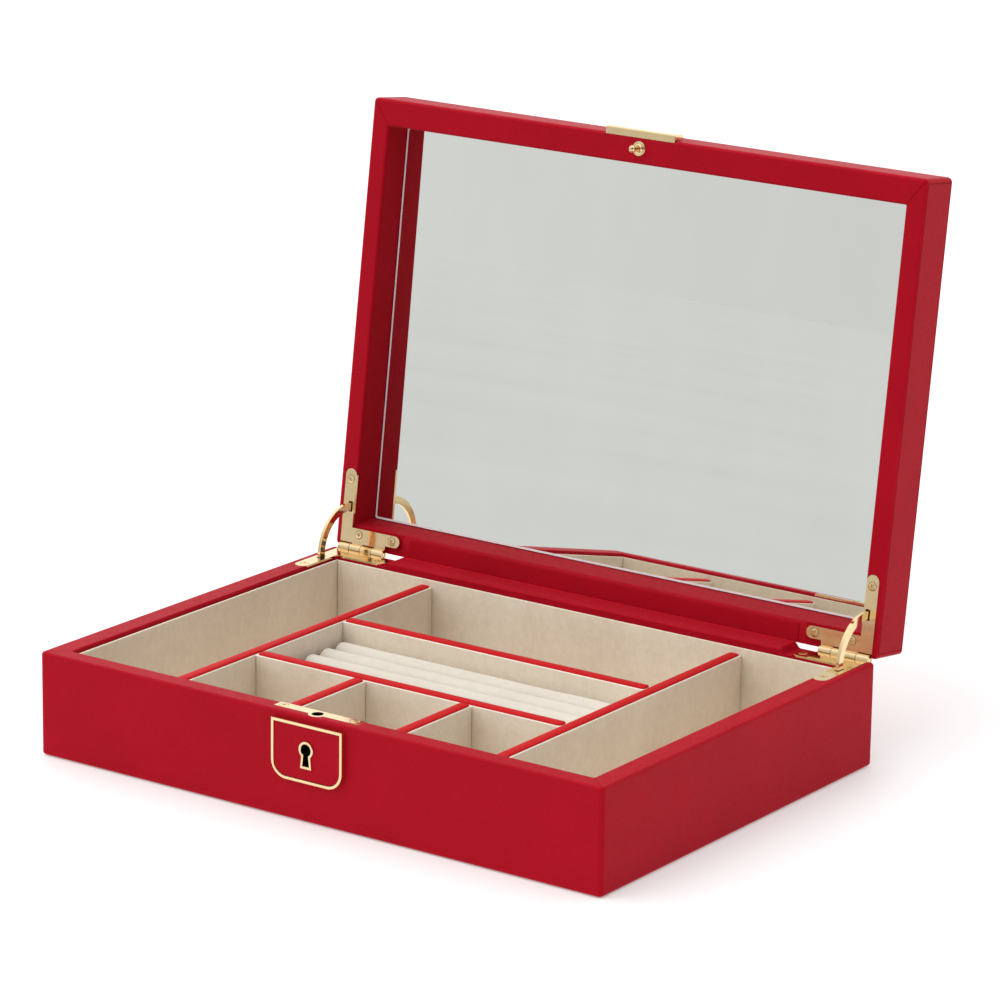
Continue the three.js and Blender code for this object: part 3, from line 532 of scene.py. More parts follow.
def board(name):
    """Grey-brown backing board with pressed fibres."""
    material, tree, shader = new_material(name, Roughness=0.9)
    fibre = noise_value(tree, stretched(tree, object_place(tree), (1, 4, 1)), 400, detail=4)
    color = tones(tree, fibre, (0.3, linear(96, 80, 62)), (0.7, linear(124, 104, 82)))
    plug(tree, shader, Base_Color=color)
    bump(tree, shader, fibre, 0.4, 0.1)
    return material


LID_LOW = (-HALF_WIDTH, -HALF_DEPTH, LID_RIM)
LID_HIGH = (HALF_WIDTH, HALF_DEPTH, LID_TOP)
BASE_LEATHER = leather("base_leather", BASE_LOW, BASE_HIGH)
LID_LEATHER = leather("lid_leather", LID_LOW, LID_HIGH)
STRIP_LEATHER = leather(
    "strip_leather", BASE_LOW, BASE_HIGH,
    deep=(0.47, 0.0060, 0.0085, 1), bright=(0.58, 0.0115, 0.0135, 1),
)
# Pale colour of the painted highlight along the suede's top edges.
SUEDE_TOP_HIGHLIGHT = linear(250, 244, 232)
SUEDE_TONES = (linear(217, 202, 182), linear(235, 224, 207))
# Liner and divider suede carry a painted highlight along their top edges; the last argument sets how strong
# it is.
LINER_SUEDE = suede("liner_suede", *SUEDE_TONES, edge_z=41.0, rub_and_highlight=0.15)
DIVIDER_SUEDE = suede("divider_suede", *SUEDE_TONES, edge_z=38.2)
ROLL_SUEDE = suede("roll_suede", linear(211, 203, 190), linear(220, 214, 202), sheen=0.15)
FELT = suede("pad_felt", linear(96, 14, 20), linear(128, 24, 30), sheen=0.4)
BRASS = brass("gilt_brass")
STEEL = steel("lock_steel")
MIRROR = mirror_glass("mirror_silver")
ARRIS_PAINTED_GLOW = ground_glass_painted_glow("mirror_arris_painted_glow")
BOARD = board("backing_board")

# ---------------------------------------------------------------- case shapes


def quarter(steps=6):
    return [math.pi / 2 * k / steps for k in range(steps + 1)]


def rectangle_ring(x, y, z, front_radius, back_radius, steps=8):
    """A rounded rectangle's points at height z, from the front left corner round by the right."""
    corners = (
        (x[0] + front_radius, y[0] + front_radius, front_radius, math.pi),
        (x[1] - front_radius, y[0] + front_radius, front_radius, 1.5 * math.pi),
        (x[1] - back_radius, y[1] - back_radius, back_radius, 0),
        (x[0] + back_radius, y[1] - back_radius, back_radius, math.pi / 2),
    )
    ring = []
    for middle_x, middle_y, radius, start in corners:
        for angle in quarter(steps):
            turn = start + angle
            ring.append((middle_x + radius * math.cos(turn), middle_y + radius * math.sin(turn), z))
    return ring


def outer_ring(inset, z):
    x = (-HALF_WIDTH + inset, HALF_WIDTH - inset)
    y = (-HALF_DEPTH + inset, HALF_DEPTH - inset)
    return rectangle_ring(x, y, z, FRONT_CORNER - inset, BACK_CORNER - inset)


def inner_ring(x, y, grow, z, back=0.0):
    span_y = (y[0] - grow, y[1] + grow + back)
    return rectangle_ring((x[0] - grow, x[1] + grow), span_y, z, 0.5 + grow, 0.5 + grow)


SPINE_SQUARENESS = 0.09


def squared(share):
    return max(share, 0.0) ** SPINE_SQUARENESS


def raise_spine(piece, rim_z, down, rise):
    """Steps the back rim up between the hinges, where base and lid meet in a crisp edge."""
    shape = bmesh.new()
    shape.from_mesh(piece.data)
    for x in (-SPINE_END_X - 0.5, -SPINE_END_X, SPINE_END_X, SPINE_END_X + 0.5):
        parts = shape.verts[:] + shape.edges[:] + shape.faces[:]
        bmesh.ops.bisect_plane(shape, geom=parts, plane_co=(x * MM, 0, 0), plane_no=(1, 0, 0))
    for vertex in shape.verts:
        place = vertex.co / MM
        at_back = place.y > BASE_INNER_Y[1] - 0.5 and abs(place.z - rim_z) < 2.0
        if at_back and abs(place.x) < SPINE_END_X + 0.1:
            y, z = place.y, place.z
            if y > HALF_DEPTH - EDGE_ROUND + 0.001:
                turn_z = rim_z - down * EDGE_ROUND
                y = HALF_DEPTH - EDGE_ROUND * (1 - squared((y - HALF_DEPTH + EDGE_ROUND) / EDGE_ROUND))
                z = turn_z + down * EDGE_ROUND * squared(down * (z - turn_z) / EDGE_ROUND)
            vertex.co.y, vertex.co.z = y * MM, (z + rise) * MM
    shape.to_mesh(piece.data)
    shape.free()
    return piece


def tray(name, rim_z, far_z, floor_z, inner_x, inner_y, rise, flare=0.0):
    """A box open at rim_z with rolled leather edges; it is drawn up or down from its rim.

    The back inner wall leans out by the flare between the depth of the mirror and the rim.
    """
    down = 1 if far_z < rim_z else -1
    rings = []
    for angle in quarter():
        inset = EDGE_ROUND * (1 - math.sin(angle))
        rings.append(outer_ring(inset, far_z + down * EDGE_ROUND * (1 - math.cos(angle))))
    for angle in quarter():
        inset = EDGE_ROUND * (1 - math.cos(angle))
        rings.append(outer_ring(inset, rim_z - down * EDGE_ROUND * (1 - math.sin(angle))))
    for angle in quarter():
        grow = INNER_ROUND * (1 - math.sin(angle))
        back = flare + (BACK_INNER_ROUND - INNER_ROUND) * (1 - math.sin(angle))
        z = rim_z - down * INNER_ROUND * (1 - math.cos(angle))
        rings.append(inner_ring(inner_x, inner_y, grow, z, back))
    if flare:
        rings.append(inner_ring(inner_x, inner_y, 0, MIRROR_Z[0]))
    rings.append(inner_ring(inner_x, inner_y, 0, floor_z))
    return raise_spine(loft(name, rings), rim_z, down, rise)


def mitre_tools(inner_x, inner_y, z):
    """Thin blades along the four mitre seams of a rim."""
    tools = []
    for x, outer_x in ((inner_x[0], -HALF_WIDTH), (inner_x[1], HALF_WIDTH)):
        for y, outer_y in ((inner_y[0], -HALF_DEPTH), (inner_y[1], HALF_DEPTH)):
            along = Vector((outer_x - x, outer_y - y)).normalized()
            start = Vector((x, y)) - along
            end = Vector((outer_x, outer_y)) + along
            across = Vector((-along.y, along.x)) * SEAM_WIDTH / 2
            outline = [start - across, end - across, end + across, start + across]
            tools.append(prism([tuple(point) for point in outline], z))
    return tools


def panel_seam_tools():
    """Thin blades round the leather panel on each outer side of the lid."""
    tools = []
    near, far = LID_RIM + PANEL_RIM_INSET, LID_TOP - PANEL_INSET
    end = HALF_DEPTH - BACK_CORNER - 0.3
    half = PANEL_SEAM_WIDTH / 2
    for side in (-1, 1):
        x = span_x(side, HALF_WIDTH - PANEL_SEAM_DEPTH, HALF_WIDTH + 1)
        for height in (near, far):
            tools.append(slab(x, (-end, end), (height - half, height + half)))
        for y in (-end, end):
            tools.append(slab(x, (y - half, y + half), (near, far)))
    return tools


def ring_sector(inner, outer, start, end, steps=28):
    """(y, z) points of a ring sector about the hinge; angles run from the front, upwards."""
    def at(radius, angle):
        return (HINGE_Y - radius * math.cos(angle), HINGE_Z + radius * math.sin(angle))

    angles = [start + (end - start) * k / steps for k in range(steps + 1)]
    return [at(outer, a) for a in angles] + [at(inner, a) for a in reversed(angles)]


def arc(x, y, radius, angles):
    return [(x + radius * math.cos(angle), y + radius * math.sin(angle)) for angle in angles]


def arm_span(side, thickness):
    return span_x(side, ARM_X - thickness / 2, ARM_X + thickness / 2)


def leaf_outline(side, leaf, grow, steps=14):
    """An L: one leg along the side wall and one along the back wall."""
    leg_radius = (leaf["outer"] - leaf["inner"]) / 2 + grow
    leg_x = (leaf["outer"] + leaf["inner"]) / 2
    back_radius = (LEAF_LEG_BACK_Y - leaf["leg_inner"]) / 2 + grow
    back_y = (LEAF_LEG_BACK_Y + leaf["leg_inner"]) / 2
    points = [(leaf["inner"] - grow, leaf["leg_inner"] - grow)]
    middle_y = LEAF_FRONT_Y + leg_radius - grow
    points += arc(leg_x, middle_y, leg_radius, [math.pi * (1 + k / steps) for k in range(steps + 1)])
    points.append((leaf["outer"] + grow, LEAF_BACK_Y + grow))
    points.append((KNUCKLE_NEAR_X - grow, LEAF_BACK_Y + grow))
    points.append((KNUCKLE_NEAR_X - grow, LEAF_LEG_BACK_Y + grow))
    middle_x = LEAF_LEG_END_X + back_radius - grow
    points += arc(middle_x, back_y, back_radius, [math.pi * (0.5 + k / steps) for k in range(steps + 1)])
    return [(side * x, y) for x, y in points]


def ramp_tool(side, surface_z, down, far_x, front_y):
    """Clears the rim round the hinge, with a soft ramp up to the rim at its inner end."""
    start_z = surface_z + SPINE_RISE + SPINE_CROWN
    low_z = surface_z + down * LEAF_THICKNESS[down]
    open_z = surface_z - down * 3
    points = [(RAMP_HIGH_X, open_z)]
    for k in range(13):
        share = k / 12
        blend = share * share * (3 - 2 * share)
        x = RAMP_HIGH_X + (RAMP_LOW_X - RAMP_HIGH_X) * share
        points.append((x, start_z + (low_z - start_z) * blend - down * 0.02 * (1 - share)))
    points.append((far_x, low_z))
    points.append((far_x, open_z))
    return prism_y([(side * x, z) for x, z in points], (front_y, HALF_DEPTH + 3))


def hinge_tools(side, leaf, surface_z, down):
    """What one hinge takes from a case half: leaf mortise, ramp, barrel notch, arm pocket."""
    floor = surface_z + down * (LEAF_THICKNESS[down] + 0.1)
    above = surface_z - down * 2
    notch_floor = HINGE_Z + down * (BARREL_RADIUS + NOTCH_GAP)
    notch_x = span_x(side, KNUCKLE_NEAR_X - NOTCH_GAP, KNUCKLE_FAR_X + NOTCH_GAP)
    pocket = ring_sector(*POCKET_RADII, -0.12 * down, POCKET_ANGLE * down)
    inner_x, inner_y = (BASE_INNER_X[1], BASE_INNER_Y[1]) if down < 0 else (LID_INNER_X[1], LID_INNER_Y[1])
    side_strip = span_x(side, inner_x - 1, leaf["inner"] + 1)
    back_strip = span_x(side, LEAF_LEG_END_X + 2, leaf["inner"] + 1)
    return [
        prism(leaf_outline(side, leaf, MORTISE_GAP), sorted((floor, above))),
        slab(side_strip, (LEAF_FRONT_Y + 2, leaf["leg_inner"] + 1), sorted((floor, above))),
        slab(back_strip, (inner_y - 1, leaf["leg_inner"] + 1), sorted((floor, above))),
        ramp_tool(side, surface_z, down, RAMP_FAR_X, RAMP_FRONT_Y),
        ramp_tool(side, surface_z, down, RAMP_END_X, BASE_INNER_Y[1] - 1),
        slab(notch_x, (LEAF_BACK_Y, HALF_DEPTH + 2), sorted((notch_floor, above))),
        prism_x(pocket, arm_span(side, SLOT_WIDTH)),
    ]


# ---------------------------------------------------------------- lock shapes


def keyhole_outline(grow, steps=32):
    """(x, z) points of the keyhole: a round top on a flared slot."""
    radius = KEYHOLE["radius"] + grow
    top = KEYHOLE["slot_top"] + grow
    bottom = KEYHOLE["slot_bottom"] + grow
    meet = math.asin(top / radius)
    points = [(-bottom, KEYHOLE["bottom"] - grow), (bottom, KEYHOLE["bottom"] - grow)]
    sweep = 2 * math.pi - 2 * meet
    angles = [-math.pi / 2 + meet + sweep * k / steps for k in range(steps + 1)]
    return points + arc(0, KEYHOLE["z"], radius, angles)


def shield_outline(inset, steps=14):
    """(x, z) points of the lock's shield: square at the top, round at the bottom corners."""
    half = SHIELD["half"] - inset
    radius = SHIELD["corner"] - inset
    bottom = SHIELD["bottom"] + inset
    points = [(half, SHIELD["top"] - inset), (-half, SHIELD["top"] - inset)]
    for middle_x, turns in ((-half + radius, 1), (half - radius, 1.5)):
        angles = [math.pi * (turns + 0.5 * k / steps) for k in range(steps + 1)]
        points += arc(middle_x, bottom + radius, radius, angles)
    return points


def plate_outline(grow, steps=20):
    half = PLATE["half"] + grow
    radius = PLATE["boss"] + grow
    front = PLATE["front"] - grow
    meet = math.acos((LOCK_Y - front) / radius)
    angles = [1.5 * math.pi - meet + 2 * meet * k / steps for k in range(steps + 1)]
    points = [(-half, front)] + arc(0, LOCK_Y, radius, angles)
    points += [(half, front), (half, BASE_INNER_Y[0] + grow), (-half, BASE_INNER_Y[0] + grow)]
    return points


def band(name, outline, border, back_y, face_y, soft):
    """A raised rim that follows an outline on the front wall; its face edges are rounded."""
    lift = face_y + soft
    profile = [(0, back_y), (0, lift)]
    for angle in quarter(4)[1:]:
        profile.append((soft * (1 - math.cos(angle)), lift - soft * math.sin(angle)))
    inner = [(border - inset, y) for inset, y in reversed(profile)]
    rings = [[(x, y, z) for x, z in outline(inset)] for inset, y in profile + inner]
    return loft(name, rings, endless=True)


# ---------------------------------------------------------------- base


def screw_seat(place, surface_z, down):
    """The countersunk hole for a screw's head."""
    profile = [(0, -SCREW_DEPTH - 0.3), (SCREW_SHANK + 0.2, -SCREW_DEPTH - 0.3)]
    profile += [(SCREW_SHANK + 0.2, -SCREW_DEPTH), (SCREW_HEAD + 0.2, -0.1), (SCREW_HEAD + 0.2, 1), (0, 1)]
    turned = [(radius, -down * z) for radius, z in profile]
    return lathe("tool", turned, 32, (place[0], place[1], surface_z))


def make_screw(node, body, place, surface_z, down, turn, open_turn=REST):
    """A countersunk cross-head screw with a slightly domed head."""
    dome = [(SCREW_HEAD * math.sin(a), 0.1 * math.cos(a)) for a in reversed(quarter(5))]
    profile = [(0, -SCREW_LENGTH), (SCREW_SHANK * 0.3, -SCREW_LENGTH), (SCREW_SHANK, 1.2 - SCREW_LENGTH)]
    profile += [(SCREW_SHANK, -SCREW_DEPTH), (SCREW_HEAD, -0.12)] + dome[:-1] + [(0, 0.1)]
    head = lathe("tool", profile, 36)
    long, wide, deep = SCREW_CROSS
    arms = [slab((-a, a), (-b, b), (-deep, 1)) for a, b in ((long, wide), (wide, long))]
    smooth(round_edges(cut(head, *arms), 0.05, 2))
    flip = Matrix.Rotation(math.pi if down > 0 else 0, 4, "X")
    spin = Matrix.Rotation(turn, 4, "Z")
    head.data.transform(Matrix.Translation(Vector((*place, surface_z)) * MM) @ spin @ flip)
    return gilt(head, node, body, open_turn)


def base_case():
    piece = tray("base_case_leather", RIM_Z, BASE_LOW.z, BASE_FLOOR, BASE_INNER_X, BASE_INNER_Y,
                 SPINE_RISE + SPINE_CROWN)
    pad_low, pad_high = node_box("bottom_pad")
    tools = [slab((pad_low.x - 0.3, pad_high.x + 0.3), (pad_low.y - 0.3, pad_high.y + 0.3), (-1, pad_high.z))]
    for _, side in SIDES:
        tools += hinge_tools(side, BASE_LEAF, RIM_Z, -1)
    lock_low, lock_high = node_box("lock_case")
    tools.append(slab((lock_low.x - 0.3, lock_high.x + 0.3), (lock_low.y - 0.2, lock_high.y + 0.2),
                      (lock_low.z - 0.3, RIM_Z - PLATE["thickness"] - 0.05)))
    tools.append(prism(plate_outline(0.05), (RIM_Z - PLATE["thickness"] - 0.1, RIM_Z + 1)))
    tools.append(prism_y(keyhole_outline(0.3), (FRONT_Y - 1, LOCK_Y)))
    trim_y = (FRONT_Y - 1, FRONT_Y + TRIM_DEPTH + TRIM_GAP)
    tools.append(prism_y(keyhole_outline(TRIM_BORDER + TRIM_GAP), trim_y))
    tools += mitre_tools(BASE_INNER_X, BASE_INNER_Y, (RIM_Z - SEAM_DEPTH, RIM_Z + 1))
    cut(piece, *tools)
    smooth(tidy_mesh(piece))
    finished(piece, "base_case_leather", "base", BASE_LEATHER, ["base_case"])


PAD_ROUND = 0.5
PAD_CORNER = 2


def bottom_pad():
    low, high = node_box("bottom_pad")
    rings = []
    for angle in quarter(4):
        inset = PAD_ROUND * (1 - math.sin(angle))
        z, corner = low.z + PAD_ROUND * (1 - math.cos(angle)), PAD_CORNER - inset
        rings.append(rectangle_ring((low.x + inset, high.x - inset), (low.y + inset, high.y - inset),
                                    z, corner, corner))
    rings.append(rectangle_ring((low.x, high.x), (low.y, high.y), high.z, PAD_CORNER, PAD_CORNER))
    piece = smooth(loft("bottom_pad_felt", rings))
    finished(piece, "bottom_pad_felt", "base", FELT, ["bottom_pad"])


BOARD_END_GROWTH = 0.155
BOARD_CELL = 6
BOARD_RIPPLE = 0.05


def suede_board(node):
    """A board wrapped in suede: rolled edges and a surface that isn't quite flat."""
    low, high = node_box(node)
    long_axis = 0 if high.x - low.x > high.y - low.y else 1
    if node != "floor_liner":
        low[long_axis] -= BOARD_END_GROWTH
        high[long_axis] += BOARD_END_GROWTH
    piece = slab((low.x, high.x), (low.y, high.y), (low.z, high.z), node + "_suede")
    shape = bmesh.new()
    shape.from_mesh(piece.data)
    for axis in range(3):
        length = (high - low)[axis]
        pieces = int(length // BOARD_CELL)
        for k in range(1, pieces):
            place = Vector((0, 0, 0))
            place[axis] = (low[axis] + length * k / pieces) * MM
            normal = Vector((0, 0, 0))
            normal[axis] = 1
            parts = shape.verts[:] + shape.edges[:] + shape.faces[:]
            bmesh.ops.bisect_plane(shape, geom=parts, plane_co=place, plane_no=normal)
    shape.to_mesh(piece.data)
    shape.free()
    round_edges(piece, 0.18, 3)
    middle = (low + high) / 2 * MM
    thin = 1 - long_axis
    if high.z - low.z < min(high.x - low.x, high.y - low.y):
        thin = 2
    for vertex in piece.data.vertices:
        ripple = noise.noise(vertex.co * 45 + Vector((len(node), 0, 0)))
        inward = middle - vertex.co
        vertex.co[thin] += math.copysign(BOARD_RIPPLE * MM * (1 + ripple), inward[thin])
    piece.data.shade_smooth()
    nap = DIVIDER_SUEDE if "divider" in node else LINER_SUEDE
    finished(piece, node + "_suede", "base", nap, [node])


STRIP_END = 1.5


def divider_strip(node):
    """A crowned leather bead with rounded ends along a divider's top."""
    low, high = node_box(node)
    along_y = high.y - low.y > high.x - low.x
    width = high.x - low.x if along_y else high.y - low.y
    radius = width / 2
    height = high.z - low.z
    rings = [rectangle_ring((low.x, high.x), (low.y, high.y), low.z, STRIP_END, STRIP_END, 8)]
    for angle in quarter(8):
        inset = radius * (1 - math.cos(angle)) * 0.96
        z = low.z + height * (0.25 + 0.75 * math.sin(angle))
        corner = max(STRIP_END - inset, 0.02)
        rings.append(rectangle_ring((low.x + inset, high.x - inset), (low.y + inset, high.y - inset),
                                    z, corner, corner, 8))
    piece = loft(node + "_leather", rings)
    piece.data.shade_smooth()
    piece.data.set_sharp_from_angle(angle=math.radians(60))
    finished(piece, node + "_leather", "base", STRIP_LEATHER, [node])


ROLL_COUNT = 5
ROLL_RUN_STEPS = 60
ROLL_SIDE_STEPS = 10
ROLL_END_ROUND = 1.6
ROLL_WAVE = 0.16
ROLL_SLACK = 0.14
ROLL_FOOT_ROUND = 0.4


def ring_roll(node, seed):
    """A stuffed suede roll: round top, softly closed ends, slight unevenness along it."""
    low, high = node_box(node)
    radius = (high.y - low.y) / 2
    middle_y = (high.y + low.y) / 2
    shoulder = high.z - radius
    rings = []
    for k in range(ROLL_RUN_STEPS + 1):
        share = k / ROLL_RUN_STEPS
        x = low.x + (high.x - low.x) * (0.5 - 0.5 * math.cos(math.pi * share))
        end_distance = min(x - low.x, high.x - x)
        closed = math.sqrt(1 - (1 - min(end_distance / ROLL_END_ROUND, 1)) ** 2)
        size = radius - ROLL_END_ROUND * (1 - closed)
        ring = []
        for j in range(2 * ROLL_SIDE_STEPS + 1):
            angle = math.pi * j / (2 * ROLL_SIDE_STEPS)
            wave = ROLL_WAVE * noise.noise(Vector((x * 0.05, angle * 0.8, seed * 7.3)))
            reach = size - ROLL_SLACK + wave
            ring.append((x, middle_y + reach * math.cos(angle), shoulder + reach * math.sin(angle)))
        foot = ROLL_FOOT_ROUND
        ring += [(x, middle_y - size, low.z + foot), (x, middle_y - size + foot, low.z)]
        ring += [(x, middle_y + size - foot, low.z), (x, middle_y + size, low.z + foot)]
        rings.append(ring)
    piece = loft(node + "_suede", rings)
    piece.data.shade_smooth()
    piece.data.set_sharp_from_angle(angle=math.radians(60))
    finished(piece, node + "_suede", "base", ROLL_SUEDE, [node])


# ---------------------------------------------------------------- hinges


def leaf_screws(leaf):
    back_y = (LEAF_LEG_BACK_Y + leaf["leg_inner"]) / 2
    middle_x = (leaf["outer"] + leaf["inner"]) / 2
    return [(middle_x, LEAF_FRONT_Y + 4.6), (121.6, back_y), (LEAF_LEG_END_X + 4, back_y)]


def hinge_leaf(half, word, side, leaf, own, surface_z, down, turn):
    node = f"{word}_{half}_leaf"
    z = sorted((surface_z, surface_z + down * LEAF_THICKNESS[down]))
    piece = prism(leaf_outline(side, leaf, 0), z, node)
    for index in range(own, KNUCKLE_COUNT, 2):
        far = KNUCKLE_FAR_X - index * KNUCKLE_LENGTH
        x = span_x(side, far - KNUCKLE_LENGTH + KNUCKLE_GAP, far)
        join(piece, slab(x, (LEAF_BACK_Y - 0.4, HINGE_Y), z), rod_x(BARREL_RADIUS, x, HINGE_Y, HINGE_Z))
    slot = slab(arm_span(side, SLOT_WIDTH), (HINGE_Y - POCKET_RADII[1] + 1, HINGE_Y - POCKET_RADII[0]),
                (z[0] - 1, z[1] + 1))
    seats = [screw_seat((side * x, y), surface_z, down) for x, y in leaf_screws(leaf)]
    round_edges(tidy_mesh(piece), LEAF_ROUND[down], 4)
    cut(piece, rod_x(BARREL_BORE, span_x(side, 100, 140), HINGE_Y, HINGE_Z, 32), slot, *seats)
    smooth(round_edges(tidy_mesh(piece), 0.08, 2))
    gilt(piece, node, half, turn)
    for index, (x, y) in enumerate(leaf_screws(leaf)):
        angle = 0.7 * (index + 1) * side
        make_screw(f"{node}_screw_{index + 1}", half, (side * x, y), surface_z, down, angle, turn)


def hinge_pin(word, side):
    piece = rod_x(PIN_RADIUS, span_x(side, KNUCKLE_NEAR_X + KNUCKLE_GAP, KNUCKLE_FAR_X), HINGE_Y, HINGE_Z, 32)
    smooth(round_edges(piece, 0.2, 3))
    gilt(piece, word + "_hinge_pin", "base")


def stay_arm(word, side):
    span = arm_span(side, ARM_THICKNESS)
    piece = prism_x(ring_sector(*ARM_RADII, -ARM_HALF_ANGLE, ARM_HALF_ANGLE, 48), span)
    for end in (-1, 1):
        tip, root = ARM_HALF_ANGLE * end, (ARM_HALF_ANGLE - ARM_NIB_ANGLE) * end
        radii = (ARM_RADII[1] - 0.5, ARM_RADII[1] + ARM_NIB_HEIGHT)
        join(piece, prism_x(ring_sector(*radii, min(tip, root), max(tip, root), 4), span))
    smooth(round_edges(tidy_mesh(piece), 0.25, 3))
    gilt(piece, word + "_stay_arm", word + "_arm", ARM_OPEN)


# ---------------------------------------------------------------- lock


def lock_face():
    frame_y = FRONT_Y - SHIELD["proud"]
    piece = smooth(band("shield", shield_outline, SHIELD["border"], FRONT_Y, frame_y, 0.18))
    gilt(piece, "escutcheon_frame", "base")
    inlay_y = FRONT_Y - INLAY_PROUD
    gap = SHIELD["border"] + 0.1
    rings = [[(x, FRONT_Y, z) for x, z in shield_outline(gap)]]
    for angle in quarter(4):
        inset = gap + 0.35 * (1 - math.cos(angle))
        y = inlay_y + 0.35 * (1 - math.sin(angle))
        rings.append([(x, y, z) for x, z in shield_outline(inset)])
    hole = prism_y(keyhole_outline(TRIM_BORDER + TRIM_GAP), (inlay_y - 1, FRONT_Y + 1))
    inlay = smooth(cut(loft("inlay", rings), hole))
    finished(inlay, "escutcheon_inlay_leather", "base", BASE_LEATHER, ["escutcheon_inlay"])
    trim_y = inlay_y - TRIM_PROUD

    def trim_outline(inset):
        return keyhole_outline(TRIM_BORDER - inset)

    trim = smooth(band("trim", trim_outline, TRIM_BORDER, FRONT_Y + TRIM_DEPTH, trim_y, 0.22))
    gilt(trim, "keyhole_trim", "base")


def lock_plate():
    z = (RIM_Z - PLATE["thickness"], RIM_Z)
    piece = prism(plate_outline(0), z)
    screws = [(side * PLATE_SCREW[0], PLATE_SCREW[1]) for _, side in SIDES]
    cut(piece, rod_z(PLATE["hole"], 0, LOCK_Y, (z[0] - 1, z[1] + 1), 48),
        *[screw_seat(place, RIM_Z, -1) for place in screws])
    smooth(round_edges(tidy_mesh(piece), 0.14, 3))
    gilt(piece, "lock_top_plate", "base")
    for index, place in enumerate(screws):
        make_screw(f"lock_screw_{index + 1}", "base", place, RIM_Z, -1, 0.7 * index)
    for node in ("lock_case", "lock_bolt"):
        part = frame["nodes"][node]
        part.data.materials.clear()
        part.data.materials.append(STEEL)
        edge = part.modifiers.new("edge", "BEVEL")
        edge.width = 0.08 * MM
        edge.segments = 2
        edge.angle_limit = math.radians(38)


# ---------------------------------------------------------------- lid

LATCH = {"ball": 1.5, "drop": 4.7, "neck": 0.95, "cone": 2.0, "cone_drop": 1.3,
         "flange": 3.0, "flange_depth": 1.2, "stem": 1.2, "stem_depth": 5.0}
LIFT = {"half": 16.6, "leaf": 0.8, "proud": 2.6, "clear": 0.25, "reach": 0.7, "height": 6.2}


def latch_pin():
    """A ball on a neck that flares into a dished flange."""
    neck_angle = math.asin(LATCH["neck"] / LATCH["ball"])
    ball_z = LID_RIM - LATCH["drop"]
    profile = [(0, ball_z - LATCH["ball"])]
    for k in range(1, 15):
        angle = (math.pi - neck_angle) * k / 14
        profile.append((LATCH["ball"] * math.sin(angle), ball_z - LATCH["ball"] * math.cos(angle)))
    profile.append((LATCH["neck"], LID_RIM - LATCH["cone_drop"] - 0.9))
    for angle in quarter(8):
        reach = LATCH["cone"] - LATCH["neck"]
        profile.append((LATCH["neck"] + reach * (1 - math.cos(angle)),
                        LID_RIM - (LATCH["cone_drop"] + 0.6) * (1 - math.sin(angle))))
    rim = LATCH["flange"] - LATCH["cone"]
    profile.append((LATCH["cone"] + 0.1 * rim, LID_RIM + 0.05))
    for k in range(9):
        angle = math.pi * k / 8
        profile.append((LATCH["flange"] - 0.3 - 0.3 * math.cos(angle), LID_RIM - 0.16 * math.sin(angle)))
    flange_z, stem_z = LID_RIM + LATCH["flange_depth"], LID_RIM + LATCH["stem_depth"]
    profile += [(LATCH["flange"], flange_z), (LATCH["stem"], flange_z)]
    profile += [(LATCH["stem"], stem_z), (0, stem_z)]
    piece = smooth(lathe("latch", profile, 48, (0, LOCK_Y, 0)), 40)
    gilt(piece, "latch_pin", "lid", LID_OPEN)


def lift_plate():
    """A thin angle strip round the lid's front edge."""
    out, back = FRONT_Y - LIFT["proud"], FRONT_Y - LIFT["clear"]
    soft = 0.75
    outline = []
    for angle in quarter(6):
        outline.append((out + soft * (1 - math.sin(angle)), LID_RIM + soft * (1 - math.cos(angle))))
    top = LID_RIM + LIFT["height"]
    outline += [(out, top - 0.2), (out + 0.2, top), (back, top), (back, LID_RIM + LIFT["leaf"])]
    outline += [(FRONT_Y + LIFT["reach"], LID_RIM + LIFT["leaf"]), (FRONT_Y + LIFT["reach"], LID_RIM)]
    piece = prism_x(outline, (-LIFT["half"], LIFT["half"]))
    smooth(round_edges(piece, 0.18, 3))
    gilt(piece, "lift_plate", "lid", LID_OPEN)


def lid_case():
    piece = tray("lid_case_leather", LID_RIM, LID_TOP, LID_RECESS, LID_INNER_X, LID_INNER_Y,
                 LID_SPINE_RISE, LID_FLARE)
    tools = []
    for _, side in SIDES:
        tools += hinge_tools(side, LID_LEAF, LID_RIM, 1)
    half = LIFT["half"] + 0.15
    tools.append(slab((-half, half), (FRONT_Y - 2, FRONT_Y + LIFT["reach"] + 0.15),
                      (LID_RIM - 1, LID_RIM + LIFT["leaf"] + 0.1)))
    flange_z, stem_z = LID_RIM + LATCH["flange_depth"] + 0.1, LID_RIM + LATCH["stem_depth"] + 0.2
    tools.append(rod_z(LATCH["flange"] + 0.1, 0, LOCK_Y, (LID_RIM - 1, flange_z)))
    tools.append(rod_z(LATCH["stem"] + 0.2, 0, LOCK_Y, (LID_RIM, stem_z)))
    tools += mitre_tools(LID_INNER_X, LID_INNER_Y, (LID_RIM - 1, LID_RIM + SEAM_DEPTH))
    tools += panel_seam_tools()
    cut(piece, *tools)
    smooth(tidy_mesh(piece))
    finished(piece, "lid_case_leather", "lid", LID_LEATHER, ["lid_case"], LID_OPEN)


